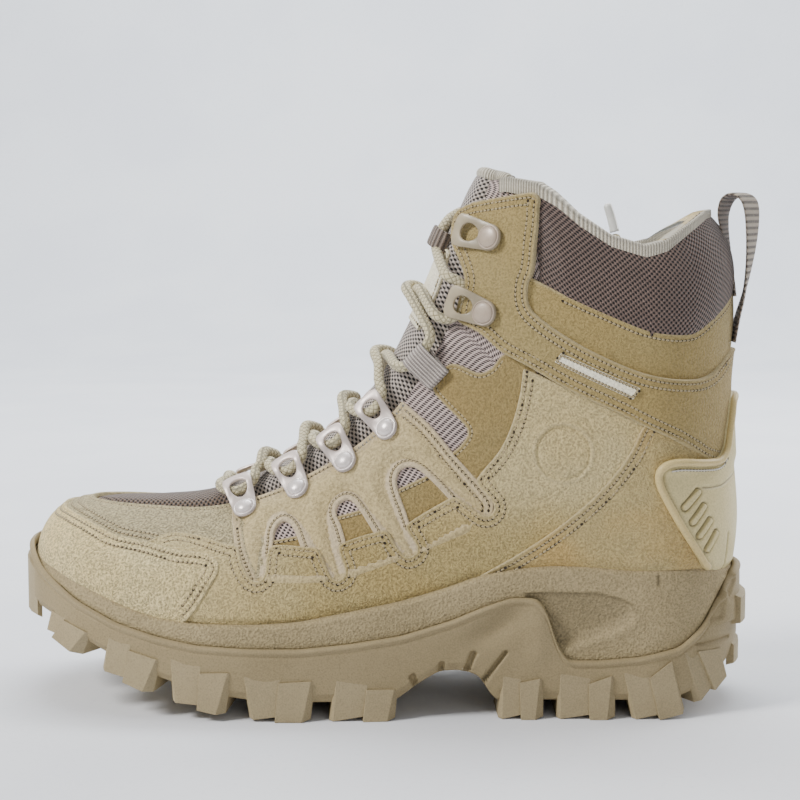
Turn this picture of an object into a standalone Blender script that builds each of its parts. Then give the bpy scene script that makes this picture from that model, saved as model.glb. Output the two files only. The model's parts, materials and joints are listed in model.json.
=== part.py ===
"""A mid-height lace-up field boot for the left foot, empty and standing on its sole.

The toe points along -X, the outer side of the foot is -Y and +Z is up. Lengths below are in
millimetres and MM turns them into metres where a mesh is made. The upper's surface is ruled: a
point lies at s along the boot, from the toe up the heel to the collar, and at t across it, from
the feather line (0) to the ridge (1).
"""

import bmesh
import bpy
import numpy as np

MM = 0.001
GAP = 0.3                 # clearance between neighbouring pieces
SHIFT = np.array([0.15, 0.05, 0.0])   # brings the middle of the boot's box over the origin

# ---- upper: rows along the boot ------------------------------------------------------------
# base_x, base_z: feather line, then the line up the heel. ridge_x, ridge_z: top of the toe and
# the front of the shaft. Half widths low, middle and high on each side of the foot. squareness:
# how square the section's shoulder is. gap: half the throat. wall: thickness.
SECTION_COLUMNS = ("base_x", "base_z", "ridge_x", "ridge_z", "low_out", "mid_out", "high_out",
                   "low_in", "mid_in", "high_in", "squareness", "gap", "wall")
SECTIONS = np.array([
    (-147.0, 50.0, -147.0, 50.0, 0.0, 0.0, 0.0, 0.0, 0.0, 0.0, 3.2, 0.0, 2.8),
    (-145.3, 49.5, -148.0, 57.5, 14.0, 13.0, 12.0, 13.5, 12.5, 11.5, 3.2, 0.0, 2.8),
    (-140.3, 48.3, -147.0, 66.0, 26.0, 25.5, 22.0, 24.5, 23.5, 20.0, 3.2, 0.0, 2.8),
    (-131.0, 46.0, -142.0, 73.5, 36.5, 36.0, 31.0, 34.0, 33.5, 28.0, 3.2, 0.0, 2.8),
    (-118.0, 42.5, -133.0, 79.0, 44.0, 43.5, 36.0, 41.5, 40.5, 33.0, 3.2, 0.0, 2.6),
    (-98.0, 38.0, -117.0, 81.5, 48.5, 47.0, 37.0, 46.0, 44.0, 35.0, 3.2, 13.0, 2.4),
    (-74.0, 34.0, -97.0, 82.5, 50.5, 48.0, 35.0, 48.5, 45.0, 34.0, 3.3, 17.0, 2.4),
    (-48.0, 32.0, -76.0, 85.0, 50.5, 46.5, 32.0, 48.0, 43.5, 31.0, 3.6, 20.0, 2.4),
    (-20.0, 33.0, -54.0, 92.5, 48.0, 43.5, 29.0, 43.5, 40.0, 28.5, 4.2, 21.5, 2.4),
    (8.0, 37.0, -35.0, 103.5, 44.5, 40.5, 27.0, 38.0, 37.0, 27.0, 5.0, 22.0, 2.4),
    (38.0, 43.5, -17.0, 117.0, 41.0, 38.5, 26.0, 35.0, 35.5, 26.0, 5.8, 22.5, 2.4),
    (72.0, 47.0, -3.0, 134.5, 38.5, 38.0, 25.0, 34.5, 36.0, 25.0, 6.5, 22.5, 2.4),
    (108.0, 47.0, 7.5, 154.0, 37.0, 38.5, 25.0, 36.0, 37.0, 25.0, 7.0, 22.0, 2.6),
    (140.0, 47.0, 16.0, 172.5, 36.5, 39.0, 25.0, 36.0, 38.0, 25.0, 7.5, 21.5, 3.0),
    (143.0, 75.0, 21.5, 186.0, 34.0, 39.0, 25.0, 33.5, 38.5, 25.0, 8.0, 20.5, 3.2),
    (141.0, 104.0, 26.0, 196.0, 31.0, 38.5, 25.0, 31.0, 38.5, 25.0, 8.0, 20.0, 3.6),
    (140.0, 132.0, 30.0, 204.5, 29.0, 37.5, 25.0, 29.0, 37.5, 25.0, 8.0, 19.5, 5.0),
    (142.0, 162.0, 33.0, 211.0, 29.5, 37.5, 26.0, 29.5, 37.5, 26.0, 8.0, 19.0, 8.0),
    (138.0, 190.0, 36.0, 216.5, 31.0, 38.0, 27.0, 31.0, 38.0, 27.0, 8.0, 18.5, 8.0),
    (127.0, 210.0, 39.0, 222.0, 32.0, 38.5, 28.0, 32.0, 38.5, 28.0, 8.0, 18.0, 8.0),
])
LAST_ROW = len(SECTIONS) - 1
HEEL_ROW = 13             # the base line turns up here
HEEL_ROUND = 36.0         # length over which the heel closes round the back
HEEL_SQUARENESS = 2.2
TOE_SWING = 7.0           # how far the toe turns to the inner side
SWING_START = -20.0
THIN_EDGE = 2.4           # the upper's wall beside the throat
THICKEST = 8.0            # the padded collar

# Height of the collar's edge along the boot, and heights along the sole.
COLLAR = np.array([(20, 214.0), (38, 214.5), (50, 216.0), (62, 213.5), (76, 201.5), (90, 193.0),
                   (104, 189.0), (112, 191.0), (120, 197.0), (128, 202.5), (145, 206.0)])
MIDSOLE_RIM = np.array([(-152, 62), (-140, 59), (-132, 57), (-122, 52), (-106, 45), (-90, 40),
                        (-73, 38), (-49, 38), (-33, 39), (-12, 43), (8, 47), (28, 53), (38, 57),
                        (52, 60), (68, 61.5), (84, 61), (100, 59.5), (113, 60), (125, 60),
                        (134, 57.5), (145, 56.5)])
OUTSOLE_RIM = np.array([(-152, 66), (-146, 64), (-138, 56), (-128, 49.5), (-121, 45), (-105, 37.5),
                        (-89, 33), (-73, 30), (-52, 29), (-32, 29), (-12, 31), (8, 34), (28, 40),
                        (40, 45), (52, 49), (62, 49), (66, 46), (70, 31), (75, 23.5), (88, 23.5),
                        (104, 25), (118, 28.5), (126, 36), (132, 47), (137, 56), (145, 60)])
SOLE_UNDER_FOOT = 5.0     # midsole under the insole, and how much deeper it is over the heel
HEEL_BLOCK = np.array([(-160, 0), (42, 0), (64, 2), (72, 20.5), (112, 21.5), (150, 8)])
UPPER_CLEARANCE = 0.9     # between the cup's wall and the upper's flat facets
MIDSOLE_SWELL = 0.5       # how much the middle of the cup's wall bulges
LIP = 2.0                 # height of the cup's rounded lip

# ---- tongue and insole: tongue from a row near the toe to one above the throat --------------
TONGUE_START, TONGUE_END = 4.2, 18.6
TONGUE_OVERLAP = 7.0      # how far it runs in under each side of the throat
TONGUE_THICK = 4.0
INSOLE_INSET = 3.7        # the upper's wall and a little room
INSOLE_THICK = 4.5

# ---- sole ------------------------------------------------------------------------------------
TREAD_DEPTH = 7.0
TOE_SPRING_START = -35.0
TOE_SPRING = 0.00323      # rise over the square of the distance
TOE_LIFT = 31.5           # height of the toe's underside
FLOOR = 4.0               # least thickness of the outsole over its web
HEEL_BEVEL_START = 110.0
HEEL_BEVEL = 0.018
ARCH = np.array([(3, 0), (8, 1), (14, 4), (20, 8), (30, 13), (38, 11.5), (43, 8), (47, 0)])
MIDSOLE_OUT = 4.5         # how far the midsole stands out past the upper
OUTSOLE_OUT = 6.6
RAND_SWELL = 1.0          # how much further the outsole's wall stands out below its edge

SIDE_LUG_COLUMNS = ("start", "step", "end", "top")
SIDE_LUGS = [
    (-134.0, -127.5, -117.0, 38.0),
    (-111.0, -102.0, -89.0, 29.0),
    (-84.0, -72.0, -60.0, 20.0),
    (-54.0, -41.0, -27.0, 16.0),
    (-19.0, -7.0, 6.0, 14.0),
    (47.0, 57.0, 65.0, 17.0),
    (71.0, 84.0, 91.0, 18.0),
    (99.0, 112.0, 123.0, 20.0),
]
LUG_REACH = 19.0          # how far a side lug runs in under the foot
LUG_OUT = 0.6             # how far its front half stands out past the outsole
LUG_STEP = 2.2            # how much further its rear half stands out
LUG_STEP_DOWN = 3.0       # and how much lower it ends
LUG_DRAFT = 1.5           # lean of the lug's ends
SHORT_LUG = 8.0           # a lug under this length leans less
SHORT_DRAFT = 1.0
CENTRE_LUG_COLUMNS = ("x", "half_width", "length")
CENTRE_LUGS = [
    (-112.0, 15.0, 13.0),
    (-88.0, 19.0, 13.0),
    (-62.0, 21.0, 13.0),
    (-36.0, 20.0, 13.0),
    (-8.0, 16.0, 13.0),
    (60.0, 9.0, 11.0),
    (84.0, 10.0, 11.0),
    (108.0, 9.0, 11.0),
]
CHEVRON = 5.0             # how far a centre lug's middle runs forward

# Bumper blocks round the toe and the heel. A block that starts at the toe's tip or the heel's
# end runs across the middle.
BUMPER_COLUMNS = ("row_from", "row_to", "out", "low", "high")
BUMPERS = [
    (0.0, 0.9, 8.4, 31.5, 60.0),
    (1.05, 1.9, 8.2, 31.5, 58.0),
    (2.05, 2.85, 8.0, 31.5, 52.0),
    (HEEL_ROW, 12.88, 8.8, 12.0, 21.0),
    (HEEL_ROW, 12.88, 10.6, 23.0, 36.0),
    (HEEL_ROW, 12.88, 9.2, 38.0, 56.0),
    (12.45, 12.84, 9.4, 8.0, 22.0),
    (12.50, 12.84, 9.4, 24.0, 42.0),
]

# ---- heel counter: height and the X of its front edge ----------------------------------------
COUNTER_EDGE = np.array([(61.0, 127.0), (66.0, 124.5), (73.0, 120.0), (81.0, 115.5), (90.0, 110.8),
                         (97.0, 107.8), (102.5, 109.0), (105.5, 113.0), (106.4, 119.5),
                         (107.2, 126.5), (109.0, 133.0), (117.0, 136.0), (127.0, 138.6)])
COUNTER_THICK = 2.4
COUNTER_GAP = 0.65        # over the upper's flat facets

# ---- hardware: rows along the boot, half widths under the plates' middles, and both plates ---
PLATE_COLUMNS = ("length", "half_wide", "hole_at", "hole_u", "hole_v", "rivet", "thick")
RING_PLATE = (17.5, 6.6, 11.0, 3.6, 3.9, 3.9, 1.3)
HOOK_PLATE = (17.0, 6.4, 10.0, 3.2, 3.2, 4.2, 1.6)
PLATE_LIFT = 0.7          # a flat plate over the upper's curve
RING_ROWS = (7.63, 8.65, 9.63, 10.58)
RING_Y = 22.0
HOOK_COLUMNS = ("row", "half_width", "turn")     # turned towards the toe, in degrees
HOOKS = [(13.6, 26.5, 22.0), (15.6, 23.0, 18.0)]
PLATE_MIDDLE = 5.5        # from the rivet to the place where the plate touches the upper
WEB_LOOP_ROW, WEB_LOOP_Y = 11.9, 23.0
WEB_LOOP_HALF, WEB_LOOP_THICK = 5.5, 0.55
WEB_LOOP_BEND = 3.2       # radius of the fold that holds the lace
WEB_LOOP_LENGTH = 8.0

# Pull loop: a line up the back, over and down again, and how far the webbing is turned.
PULL_LOOP_COLUMNS = ("x", "z", "turn")
PULL_LOOP = np.array([(143.3, 168.0, 0.0), (142.6, 176.0, 3.0), (141.2, 186.0, 9.0),
                      (139.4, 195.0, 15.0), (138.8, 202.0, 20.0), (140.6, 207.5, 24.0),
                      (144.5, 209.6, 27.0), (148.6, 207.8, 27.0), (150.4, 202.5, 25.0),
                      (150.6, 192.0, 20.0), (149.6, 180.0, 13.0), (147.6, 168.0, 6.0),
                      (145.3, 159.0, 2.0), (143.4, 149.0, 0.0)])
PULL_LOOP_HALF, PULL_LOOP_THICK = 9.5, 0.75

# ---- lace ------------------------------------------------------------------------------------
CORD_RADIUS = 2.2
# Rows at which the lace leaves the rings, the webbing loop and the lower hooks. From those hooks
# both cords run under the tongue's keeper; the upper hooks are free.
LACE_ROWS = (7.75, 8.72, 9.74, 10.70, 11.95, 13.45)
LACE_END_Y = 8.6          # half width at which a crossing stops, beside the ring's plate
LACE_KEEPER_Y = 0.7       # half width at which both cords lie under the keeper
LACE_LIFT = 0.75          # the cord's clearance over the tongue's flat facets
CROSSING_INSET = 0.22     # rows by which a crossing stays clear of the next one
KEEPER_ROW, KEEPER_HALF_Y, KEEPER_HALF_WIDE = 14.45, 9.6, 4.0
KEEPER_ROOM = 1.6         # over the cord
KEEPER_LIFT = 0.9         # over the tongue, where its ends are sewn down

# The free end: from behind the tongue's inner edge, down inside the collar and up again, leaning
# on the inner side's padding, with its tip above the collar.
LACE_END_ROUTE = [(54.5, 21.0, 194.0), (56.0, 22.3, 186.0), (59.0, 23.8, 177.0),
                  (64.0, 25.0, 169.0), (70.5, 25.8, 163.0), (77.5, 26.2, 160.5),
                  (85.0, 26.3, 162.0), (91.5, 26.5, 167.0), (95.2, 26.7, 174.5),
                  (96.5, 26.9, 183.5), (95.8, 26.9, 193.0)]
LACE_END_POINTS = 22
TIP_LINE = [(95.7, 26.9, 193.8), (94.2, 27.0, 199.5), (92.2, 27.1, 206.0)]
TIP_RADIUS = 2.0


def spline(column, s, first=0, last=LAST_ROW):
    """Catmull-Rom curve through a column of SECTIONS, between two rows."""
    values = SECTIONS[first:last + 1, SECTION_COLUMNS.index(column)]
    steps = last - first
    place = np.clip(np.asarray(s, float) - first, 0, steps)
    row = np.minimum(place.astype(int), steps - 1)
    f = place - row
    here, ahead = values[row], values[row + 1]
    before = np.where(row > 0, values[np.maximum(row - 1, 0)], 2 * here - ahead)
    after = np.where(row < steps - 1, values[np.minimum(row + 2, steps)], 2 * ahead - here)
    slope_here, slope_ahead = (ahead - before) / 2, (after - here) / 2
    return ((2 * f**3 - 3 * f**2 + 1) * here + (f**3 - 2 * f**2 + f) * slope_here
            + (-2 * f**3 + 3 * f**2) * ahead + (f**3 - f**2) * slope_ahead)


def base(column, s):
    """The base line, which turns a corner at the heel: one curve before it and one after it."""
    s = np.asarray(s, float)
    return np.where(s <= HEEL_ROW, spline(column, s, 0, HEEL_ROW),
                    spline(column, s, HEEL_ROW, LAST_ROW))


def back_x(z):
    """X of the boot's back at a height."""
    s = np.linspace(HEEL_ROW, LAST_ROW, 121)
    return np.interp(z, base("base_z", s), base("base_x", s))


def nose_x(z):
    """X of the toe's front at a height."""
    s = np.linspace(0, 3, 31)
    return np.interp(z, spline("ridge_z", s), spline("ridge_x", s))


def swing(x):
    return TOE_SWING * np.clip((SWING_START - x) / 127, 0, 2)**2


def half_width(s, t, side):
    """Half width of the section: a parabola through low, middle and high, rounded at the ridge."""
    end = "_out" if side < 0 else "_in"
    low, mid, high = (spline(name + end, s) for name in ("low", "mid", "high"))
    wide = low * (1 - t) * (1 - 2 * t) + 4 * mid * t * (1 - t) + high * t * (2 * t - 1)
    return wide * np.sqrt(np.clip(1 - t**spline("squareness", s), 0, 1))


def heel_narrowing(x, z):
    depth = np.clip((back_x(z) - x) / HEEL_ROUND - 1e-3, 0, 1)
    return np.sqrt(np.clip(1 - (1 - depth)**HEEL_SQUARENESS, 0, 1))


def upper_point(s, t, side):
    """Point on the upper's outer surface, side -1 outer and +1 inner."""
    s, t = np.broadcast_arrays(np.asarray(s, float), np.asarray(t, float))
    x = base("base_x", s) + (spline("ridge_x", s) - base("base_x", s)) * t
    z = base("base_z", s) + (spline("ridge_z", s) - base("base_z", s)) * t
    y = side * half_width(s, t, side) * heel_narrowing(x, z) + swing(x)
    return np.stack([x, y, z], -1)


def upper_normal(s, t, side):
    """Outward normal, from steps along s and t."""
    step = 1e-3
    along = upper_point(s + step, t, side) - upper_point(s - step, t, side)
    t_high = np.minimum(t + step, 1)
    across = upper_point(s, t_high, side) - upper_point(s, t_high - 2 * step, side)
    normal = np.cross(across, along) * side
    return normal / np.linalg.norm(normal, axis=-1, keepdims=True)


def bisect(test, low, high, steps=40):
    """The value between low and high where test turns from true to false."""
    for _ in range(steps):
        middle = (low + high) / 2
        true = test(middle)
        low, high = np.where(true, middle, low), np.where(true, high, middle)
    return (low + high) / 2


def side_coordinates(x, z):
    """(s, t) of the place on the upper with this x and z."""
    x, z = np.broadcast_arrays(np.asarray(x, float), np.asarray(z, float))

    def behind(s):
        ridge = spline("ridge_x", s) - base("base_x", s), spline("ridge_z", s) - base("base_z", s)
        return ridge[0] * (z - base("base_z", s)) - ridge[1] * (x - base("base_x", s)) < 0

    s = bisect(behind, np.full(x.shape, 0.02), np.full(x.shape, float(LAST_ROW)))
    dx, dz = spline("ridge_x", s) - base("base_x", s), spline("ridge_z", s) - base("base_z", s)
    return s, ((x - base("base_x", s)) * dx + (z - base("base_z", s)) * dz) / (dx**2 + dz**2)


def across_at(s, y, side):
    """t at which the section's half width is y, on the side of the ridge."""
    s, y = np.broadcast_arrays(np.asarray(s, float), np.asarray(y, float))
    return bisect(lambda t: half_width(s, t, side) > y, np.full(s.shape, 0.35),
                  np.full(s.shape, 1.0))


def throat_edge(s, side):
    return across_at(s, spline("gap", s), side)


def collar_row(t, side):
    """s of the collar's edge on this t."""
    def below(s):
        point = upper_point(s, t, side)
        return point[..., 2] < np.interp(point[..., 0], *COLLAR.T)
    t = np.asarray(t, float)
    return bisect(below, np.full(t.shape, float(HEEL_ROW + 2)), np.full(t.shape, float(LAST_ROW)))


# ---- mesh helpers ----------------------------------------------------------------------------
def material(name, colour, roughness, metallic=0.0):
    made = bpy.data.materials.new(name)
    made.use_nodes = True
    shader = made.node_tree.nodes["Principled BSDF"]
    shader.inputs["Base Color"].default_value = (*colour, 1)
    shader.inputs["Roughness"].default_value = roughness
    shader.inputs["Metallic"].default_value = metallic
    made.diffuse_color = (*colour, 1)
    return made


def link(name, mesh, finish, sharp_angle=0.7):
    mesh.shade_smooth()
    mesh.set_sharp_from_angle(angle=sharp_angle)
    mesh.materials.append(finish)
    made = bpy.data.objects.new(name, mesh)
    bpy.context.collection.objects.link(made)
    return made


def mesh_of(name, points, faces):
    """Mesh from millimetre points and faces, with equal points made one and normals facing out."""
    mesh = bpy.data.meshes.new(name)
    mesh.from_pydata(((np.asarray(points) + SHIFT) * MM).tolist(), [], faces)
    work = bmesh.new()
    work.from_mesh(mesh)
    bmesh.ops.remove_doubles(work, verts=work.verts, dist=1e-6)
    bmesh.ops.dissolve_degenerate(work, edges=work.edges, dist=1e-7)
    bmesh.ops.recalc_face_normals(work, faces=work.faces)
    if work.calc_volume(signed=True) < 0:
        bmesh.ops.reverse_faces(work, faces=work.faces)
    work.to_mesh(mesh)
    work.free()
    return mesh


def grid_faces(rows, columns, first=0, close_rows=False, close_columns=False):
    """Quads of a grid of points stored row by row."""
    faces = []
    for i in range(rows if close_rows else rows - 1):
        for j in range(columns if close_columns else columns - 1):
            a, b = i, (i + 1) % rows
            c, d = j, (j + 1) % columns
            faces.append([first + k for k in (a * columns + c, a * columns + d,
                                              b * columns + d, b * columns + c)])
    return faces


def thick_sheet(name, outer, inner, finish):
    """Closed sheet between two grids of points, rows x columns x 3."""
    rows, columns = outer.shape[:2]
    count = rows * columns
    points = np.concatenate([outer.reshape(-1, 3), inner.reshape(-1, 3)])
    faces = grid_faces(rows, columns) + grid_faces(rows, columns, count)
    edge = ([(0, j) for j in range(columns)] + [(i, columns - 1) for i in range(1, rows)]
            + [(rows - 1, j) for j in range(columns - 2, -1, -1)]
            + [(i, 0) for i in range(rows - 2, 0, -1)])
    index = [i * columns + j for i, j in edge]
    for a, b in zip(index, index[1:] + index[:1]):
        faces.append([a, b, count + b, count + a])
    return link(name, mesh_of(name, points, faces), finish)


def ringed_solid(name, rings, finish):
    """Solid from closed rings that mirror across the boot, with strips across the first and last."""
    rings = np.array(rings)
    count, around = rings.shape[:2]
    faces = grid_faces(count, around, close_columns=True)
    for first in (0, (count - 1) * around):
        for k in range(around // 2):
            strip = [k, k + 1, (around - k - 1) % around, (around - k) % around]
            strip = list(dict.fromkeys(strip))
            faces.append([first + j for j in strip])
    return link(name, mesh_of(name, rings.reshape(-1, 3), faces), finish)


def join(target, others, name):
    """Boolean union of others into target; the cutters stay hidden."""
    for number, other in enumerate(others):
        other.hide_render = True
        other.display_type = "WIRE"
        other.name = f"{name}_join_{number}"
        union = target.modifiers.new(f"union_{number}", "BOOLEAN")
        union.operation = "UNION"
        union.solver = "EXACT"
        union.object = other
    return target


# ---- outline of the sole ---------------------------------------------------------------------
def outline_rows():
    """s of each point of the feather line from toe to heel, closer together at both ends."""
    body = np.concatenate([np.arange(0, 4, 0.5), np.arange(4, 11, 1.0)])
    heel = 11 + 2 * np.sin(np.pi / 2 * np.arange(7) / 6)
    return np.concatenate([body, heel])


OUTLINE_S = outline_rows()


def both_sides(outer, inner):
    """Closed ring from the toe along the outer side to the heel and back along the inner side."""
    return np.concatenate([outer, inner[-2:0:-1]])


def outline(offset, height=None):
    """Ring at the feather line, moved out level by offset, at its own or a given height."""
    ring = both_sides(upper_point(OUTLINE_S, 0.0, -1), upper_point(OUTLINE_S, 0.0, 1))
    ahead, behind = np.roll(ring, -1, 0), np.roll(ring, 1, 0)
    tangent = (ahead - behind)[:, :2]
    tangent /= np.linalg.norm(tangent, axis=1, keepdims=True)
    out = np.stack([tangent[:, 1], -tangent[:, 0]], 1)
    out *= -np.sign(np.sum(out * (np.array([0.0, 0.0]) - ring[:, :2]), axis=1))[:, None]
    moved = ring.copy()
    far = offset(ring[:, 0])[:, None] if callable(offset) else offset
    moved[:, :2] += out * far
    if height is not None:
        moved[:, 2] = height(ring[:, 0])
    return moved


def upper_ring(clearance, share):
    """Ring on the upper's surface, moved out by clearance, at a share of the way up to the rim."""
    sides = []
    foot = upper_point(OUTLINE_S, 0.0, -1)[:, 0]
    for side in (-1, 1):
        low = upper_point(OUTLINE_S, 0.0, side)[:, 2]
        z = low + share * (np.interp(foot, *MIDSOLE_RIM.T) - low)
        start, end = foot[0], foot[-1]
        x = nose_x(z) + (foot - start) * (back_x(z) - nose_x(z)) / (end - start)
        s, t = side_coordinates(x, z)
        y = side * half_width(s, t, side) * heel_narrowing(x, z) + swing(x)
        y[0], y[-1] = swing(x[0]), swing(x[-1])
        sides.append(np.stack([x, y, z], -1))
    ring = both_sides(*sides)
    out = outline(1.0) - outline(0.0)
    return ring + out * clearance


def rim_height(x):
    return np.interp(x, *MIDSOLE_RIM.T)


def rand_height(x):
    return np.interp(x, *OUTSOLE_RIM.T)


def tread_height(x):
    """Height of the lugs' faces: level, with the toe's spring and the heel's bevel."""
    toe = np.clip(TOE_SPRING_START - x, 0, None)
    heel = np.clip(x - HEEL_BEVEL_START, 0, None)
    return np.minimum(TOE_SPRING * toe**2, TOE_LIFT) + HEEL_BEVEL * heel**2


def web_height(x):
    """Height of the sole between the lugs, raised under the arch."""
    level = tread_height(x) + TREAD_DEPTH + np.interp(x, *ARCH.T)
    return np.minimum(level, seat_height(x) - GAP - FLOOR)


def feather_height(x):
    foot = upper_point(OUTLINE_S, 0.0, -1)
    return np.interp(x, foot[:, 0], foot[:, 2])


def seat_height(x):
    """Top of the outsole's floor under the midsole."""
    return feather_height(x) - SOLE_UNDER_FOOT - np.interp(x, *HEEL_BLOCK.T)


# ---- upper, tongue, insole, midsole, outsole -------------------------------------------------
# The mesh's rows up the shaft and its columns from the feather line to the throat, which are
# closer together at both ends. Rows above PLAIN_ROWS close up under the collar's edge.
SHAFT_S = np.array([13.5, 14.2, 15.0, 16.0, 17.0, 18.0, 19.0])
PLAIN_ROWS = 14.2
ACROSS = 0.5 - 0.5 * np.cos(np.pi * np.arange(12) / 11)


def upper_grid(side):
    """Grid of (s, t) from the toe to the collar's edge and from the feather line to the throat."""
    rows = np.concatenate([OUTLINE_S, SHAFT_S])
    rows = np.sort(np.append(rows, 4.5))
    s = np.repeat(rows[:, None], len(ACROSS), 1)
    t = ACROSS * np.ones_like(s)
    for _ in range(3):
        edge = np.where(spline("gap", s) > 0.3, throat_edge(s, side), 1.0)
        t = ACROSS * edge
        stretch = np.clip((rows[:, None] - PLAIN_ROWS) / (LAST_ROW - PLAIN_ROWS), 0, 1)
        s = rows[:, None] + stretch * (collar_row(t[-1], side)[None] - LAST_ROW)
    return s, t


def wall_thickness(s, t):
    """Padded towards the collar and thin beside the throat."""
    blend = np.clip((0.88 - t) / 0.2, 0, 1)
    thin = np.minimum(spline("wall", s), THIN_EDGE + 0.4)
    return thin + (spline("wall", s) - thin) * blend * blend * (3 - 2 * blend)


def make_upper(finish):
    points, faces = [], []
    for side in (-1, 1):
        s, t = upper_grid(side)
        faces += grid_faces(*s.shape, first=sum(len(p) for p in points))
        points.append(upper_point(s, t, side).reshape(-1, 3))
    mesh = mesh_of("upper", np.concatenate(points), faces)
    made = link("upper", mesh, finish)
    place = np.array([v.co[:] for v in mesh.vertices]) / MM - SHIFT
    s, t = side_coordinates(place[:, 0], place[:, 2])
    group = made.vertex_groups.new(name="wall")
    for index, weight in enumerate(wall_thickness(s, t) / THICKEST):
        group.add([index], float(weight), "REPLACE")
    wall = made.modifiers.new("wall", "SOLIDIFY")
    wall.thickness = THICKEST * MM
    wall.offset = -1
    wall.vertex_group = "wall"
    wall.use_even_offset = True
    return made


def tongue_point(s, y, lift=0.0):
    """Point on the tongue's outer face: under the upper's edges, and level with them between."""
    s, y = np.broadcast_arrays(np.asarray(s, float), np.asarray(y, float))
    side = np.where(y < 0, -1, 1)
    outer, inner = across_at(s, np.abs(y), -1), across_at(s, np.abs(y), 1)
    point = np.where(side[..., None] < 0, upper_point(s, outer, -1), upper_point(s, inner, 1))
    normal = np.where(side[..., None] < 0, upper_normal(s, outer, -1), upper_normal(s, inner, 1))
    near_edge = np.clip((np.abs(y) - spline("gap", s) + 8) / 7, 0, 1)
    sink = (THIN_EDGE + 1.2) * near_edge * near_edge * (3 - 2 * near_edge)
    return point + normal * (lift - sink - 0.2)[..., None]


def make_tongue(finish):
    rows = np.linspace(TONGUE_START, TONGUE_END, 20)
    half = spline("gap", rows) + TONGUE_OVERLAP
    y = half[:, None] * np.linspace(-1, 1, 11)
    s = np.repeat(rows[:, None], 11, 1)
    return thick_sheet("tongue", tongue_point(s, y), tongue_point(s, y, -TONGUE_THICK), finish)


def make_insole(finish):
    def under(x):
        return feather_height(x) + 0.1

    def top(x):
        return under(x) + INSOLE_THICK
    rings = [outline(-INSOLE_INSET, under), outline(-INSOLE_INSET - 0.6, top)]
    return ringed_solid("insole", rings, finish)


def midsole_foot(x):
    """Where the cup's wall leaves the outsole's edge."""
    return np.minimum(rand_height(x) - 0.5, rim_height(x) - 6.0)


def make_midsole(finish):
    def bulge(x):
        shown = rim_height(x) - rand_height(x)
        return MIDSOLE_OUT + MIDSOLE_SWELL * np.clip((shown - 2 * LIP) / 6, 0, 1)

    def under_lip(x):
        return rim_height(x) - LIP

    def middle(x):
        return (midsole_foot(x) + under_lip(x)) / 2

    def floor(x):
        return feather_height(x) - GAP
    rings = [
        outline(MIDSOLE_OUT, seat_height),
        outline(MIDSOLE_OUT, midsole_foot),
        outline(bulge, middle),
        outline(MIDSOLE_OUT, under_lip),
        upper_ring(UPPER_CLEARANCE + LIP, 1.0),
        upper_ring(UPPER_CLEARANCE, 1.0),
        upper_ring(UPPER_CLEARANCE, 0.5),
        outline(UPPER_CLEARANCE, floor),
    ]
    return ringed_solid("midsole", rings, finish)


def row_at(x):
    """s of the feather line at x."""
    return np.interp(x, base("base_x", OUTLINE_S), OUTLINE_S)


def edge_place(s, side, offset):
    """Plan position on the sole's edge at s, moved out by offset."""
    ring = outline(offset)
    count = len(OUTLINE_S)
    line = ring[:count] if side < 0 else np.concatenate([ring[:1], ring[:count - 2:-1]])
    return np.array([np.interp(s, OUTLINE_S, line[:, axis]) for axis in (0, 1)])


def block(name, bottom, top):
    """Closed block between two loops of corners."""
    count = len(bottom)
    points = [*bottom, *top]
    faces = [list(range(count)), list(range(count, 2 * count))]
    faces += [[k, (k + 1) % count, count + (k + 1) % count, count + k] for k in range(count)]
    made = bpy.data.objects.new(name, mesh_of(name, points, faces))
    bpy.context.collection.objects.link(made)
    return made


def side_lug(start, end, top, out, side):
    """Tapered block on the sole's edge, its face following the tread."""
    draft = LUG_DRAFT if end - start > SHORT_LUG else SHORT_DRAFT
    bottom, crown = [], []
    for x, depth, lean in ((start, out, draft), (end, out, -draft), (end, -LUG_REACH, -draft),
                           (start, -LUG_REACH, draft)):
        outer = depth > 0
        low = edge_place(row_at(x + lean), side, depth)
        high = edge_place(row_at(x), side, depth - (1.0 if outer else 0.0))
        bottom.append((*low, float(tread_height(x + lean))))
        crown.append((*high, top if outer else float(web_height(high[0])) + 1.5))
    return block("lug", bottom, crown)


def centre_lug(x, half, length):
    """Chevron block in the middle of the tread."""
    middle = float(swing(x)) - 1.0
    corners = [(x, -half), (x - CHEVRON, 0), (x, half), (x + length, half),
               (x + length - CHEVRON, 0), (x + length, -half)]
    bottom = [(a, b + middle, float(tread_height(a))) for a, b in corners]
    top = [(a, b + middle, float(web_height(a)) + 2.0) for a, b in corners]
    return block("lug", bottom, top)


def bumper(s_from, s_to, out, low, high, side):
    """Block on the toe's or heel's edge between two rows, or across the middle where side is 0."""
    if side:
        places = [(s_from, side), ((s_from + s_to) / 2, side), (s_to, side)]
    else:
        places = [(s_to, -1), (s_from, 1), (s_to, 1)]
    inside = [(*edge_place(s, end, OUTSOLE_OUT), low, high) for s, end in places]
    outside = [(*edge_place(s, end, out), low + 1.0, high - 2.0) for s, end in places]
    plan = np.array(inside + outside[::-1])
    return block("bumper", plan[:, :3], plan[:, [0, 1, 3]])


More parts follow.
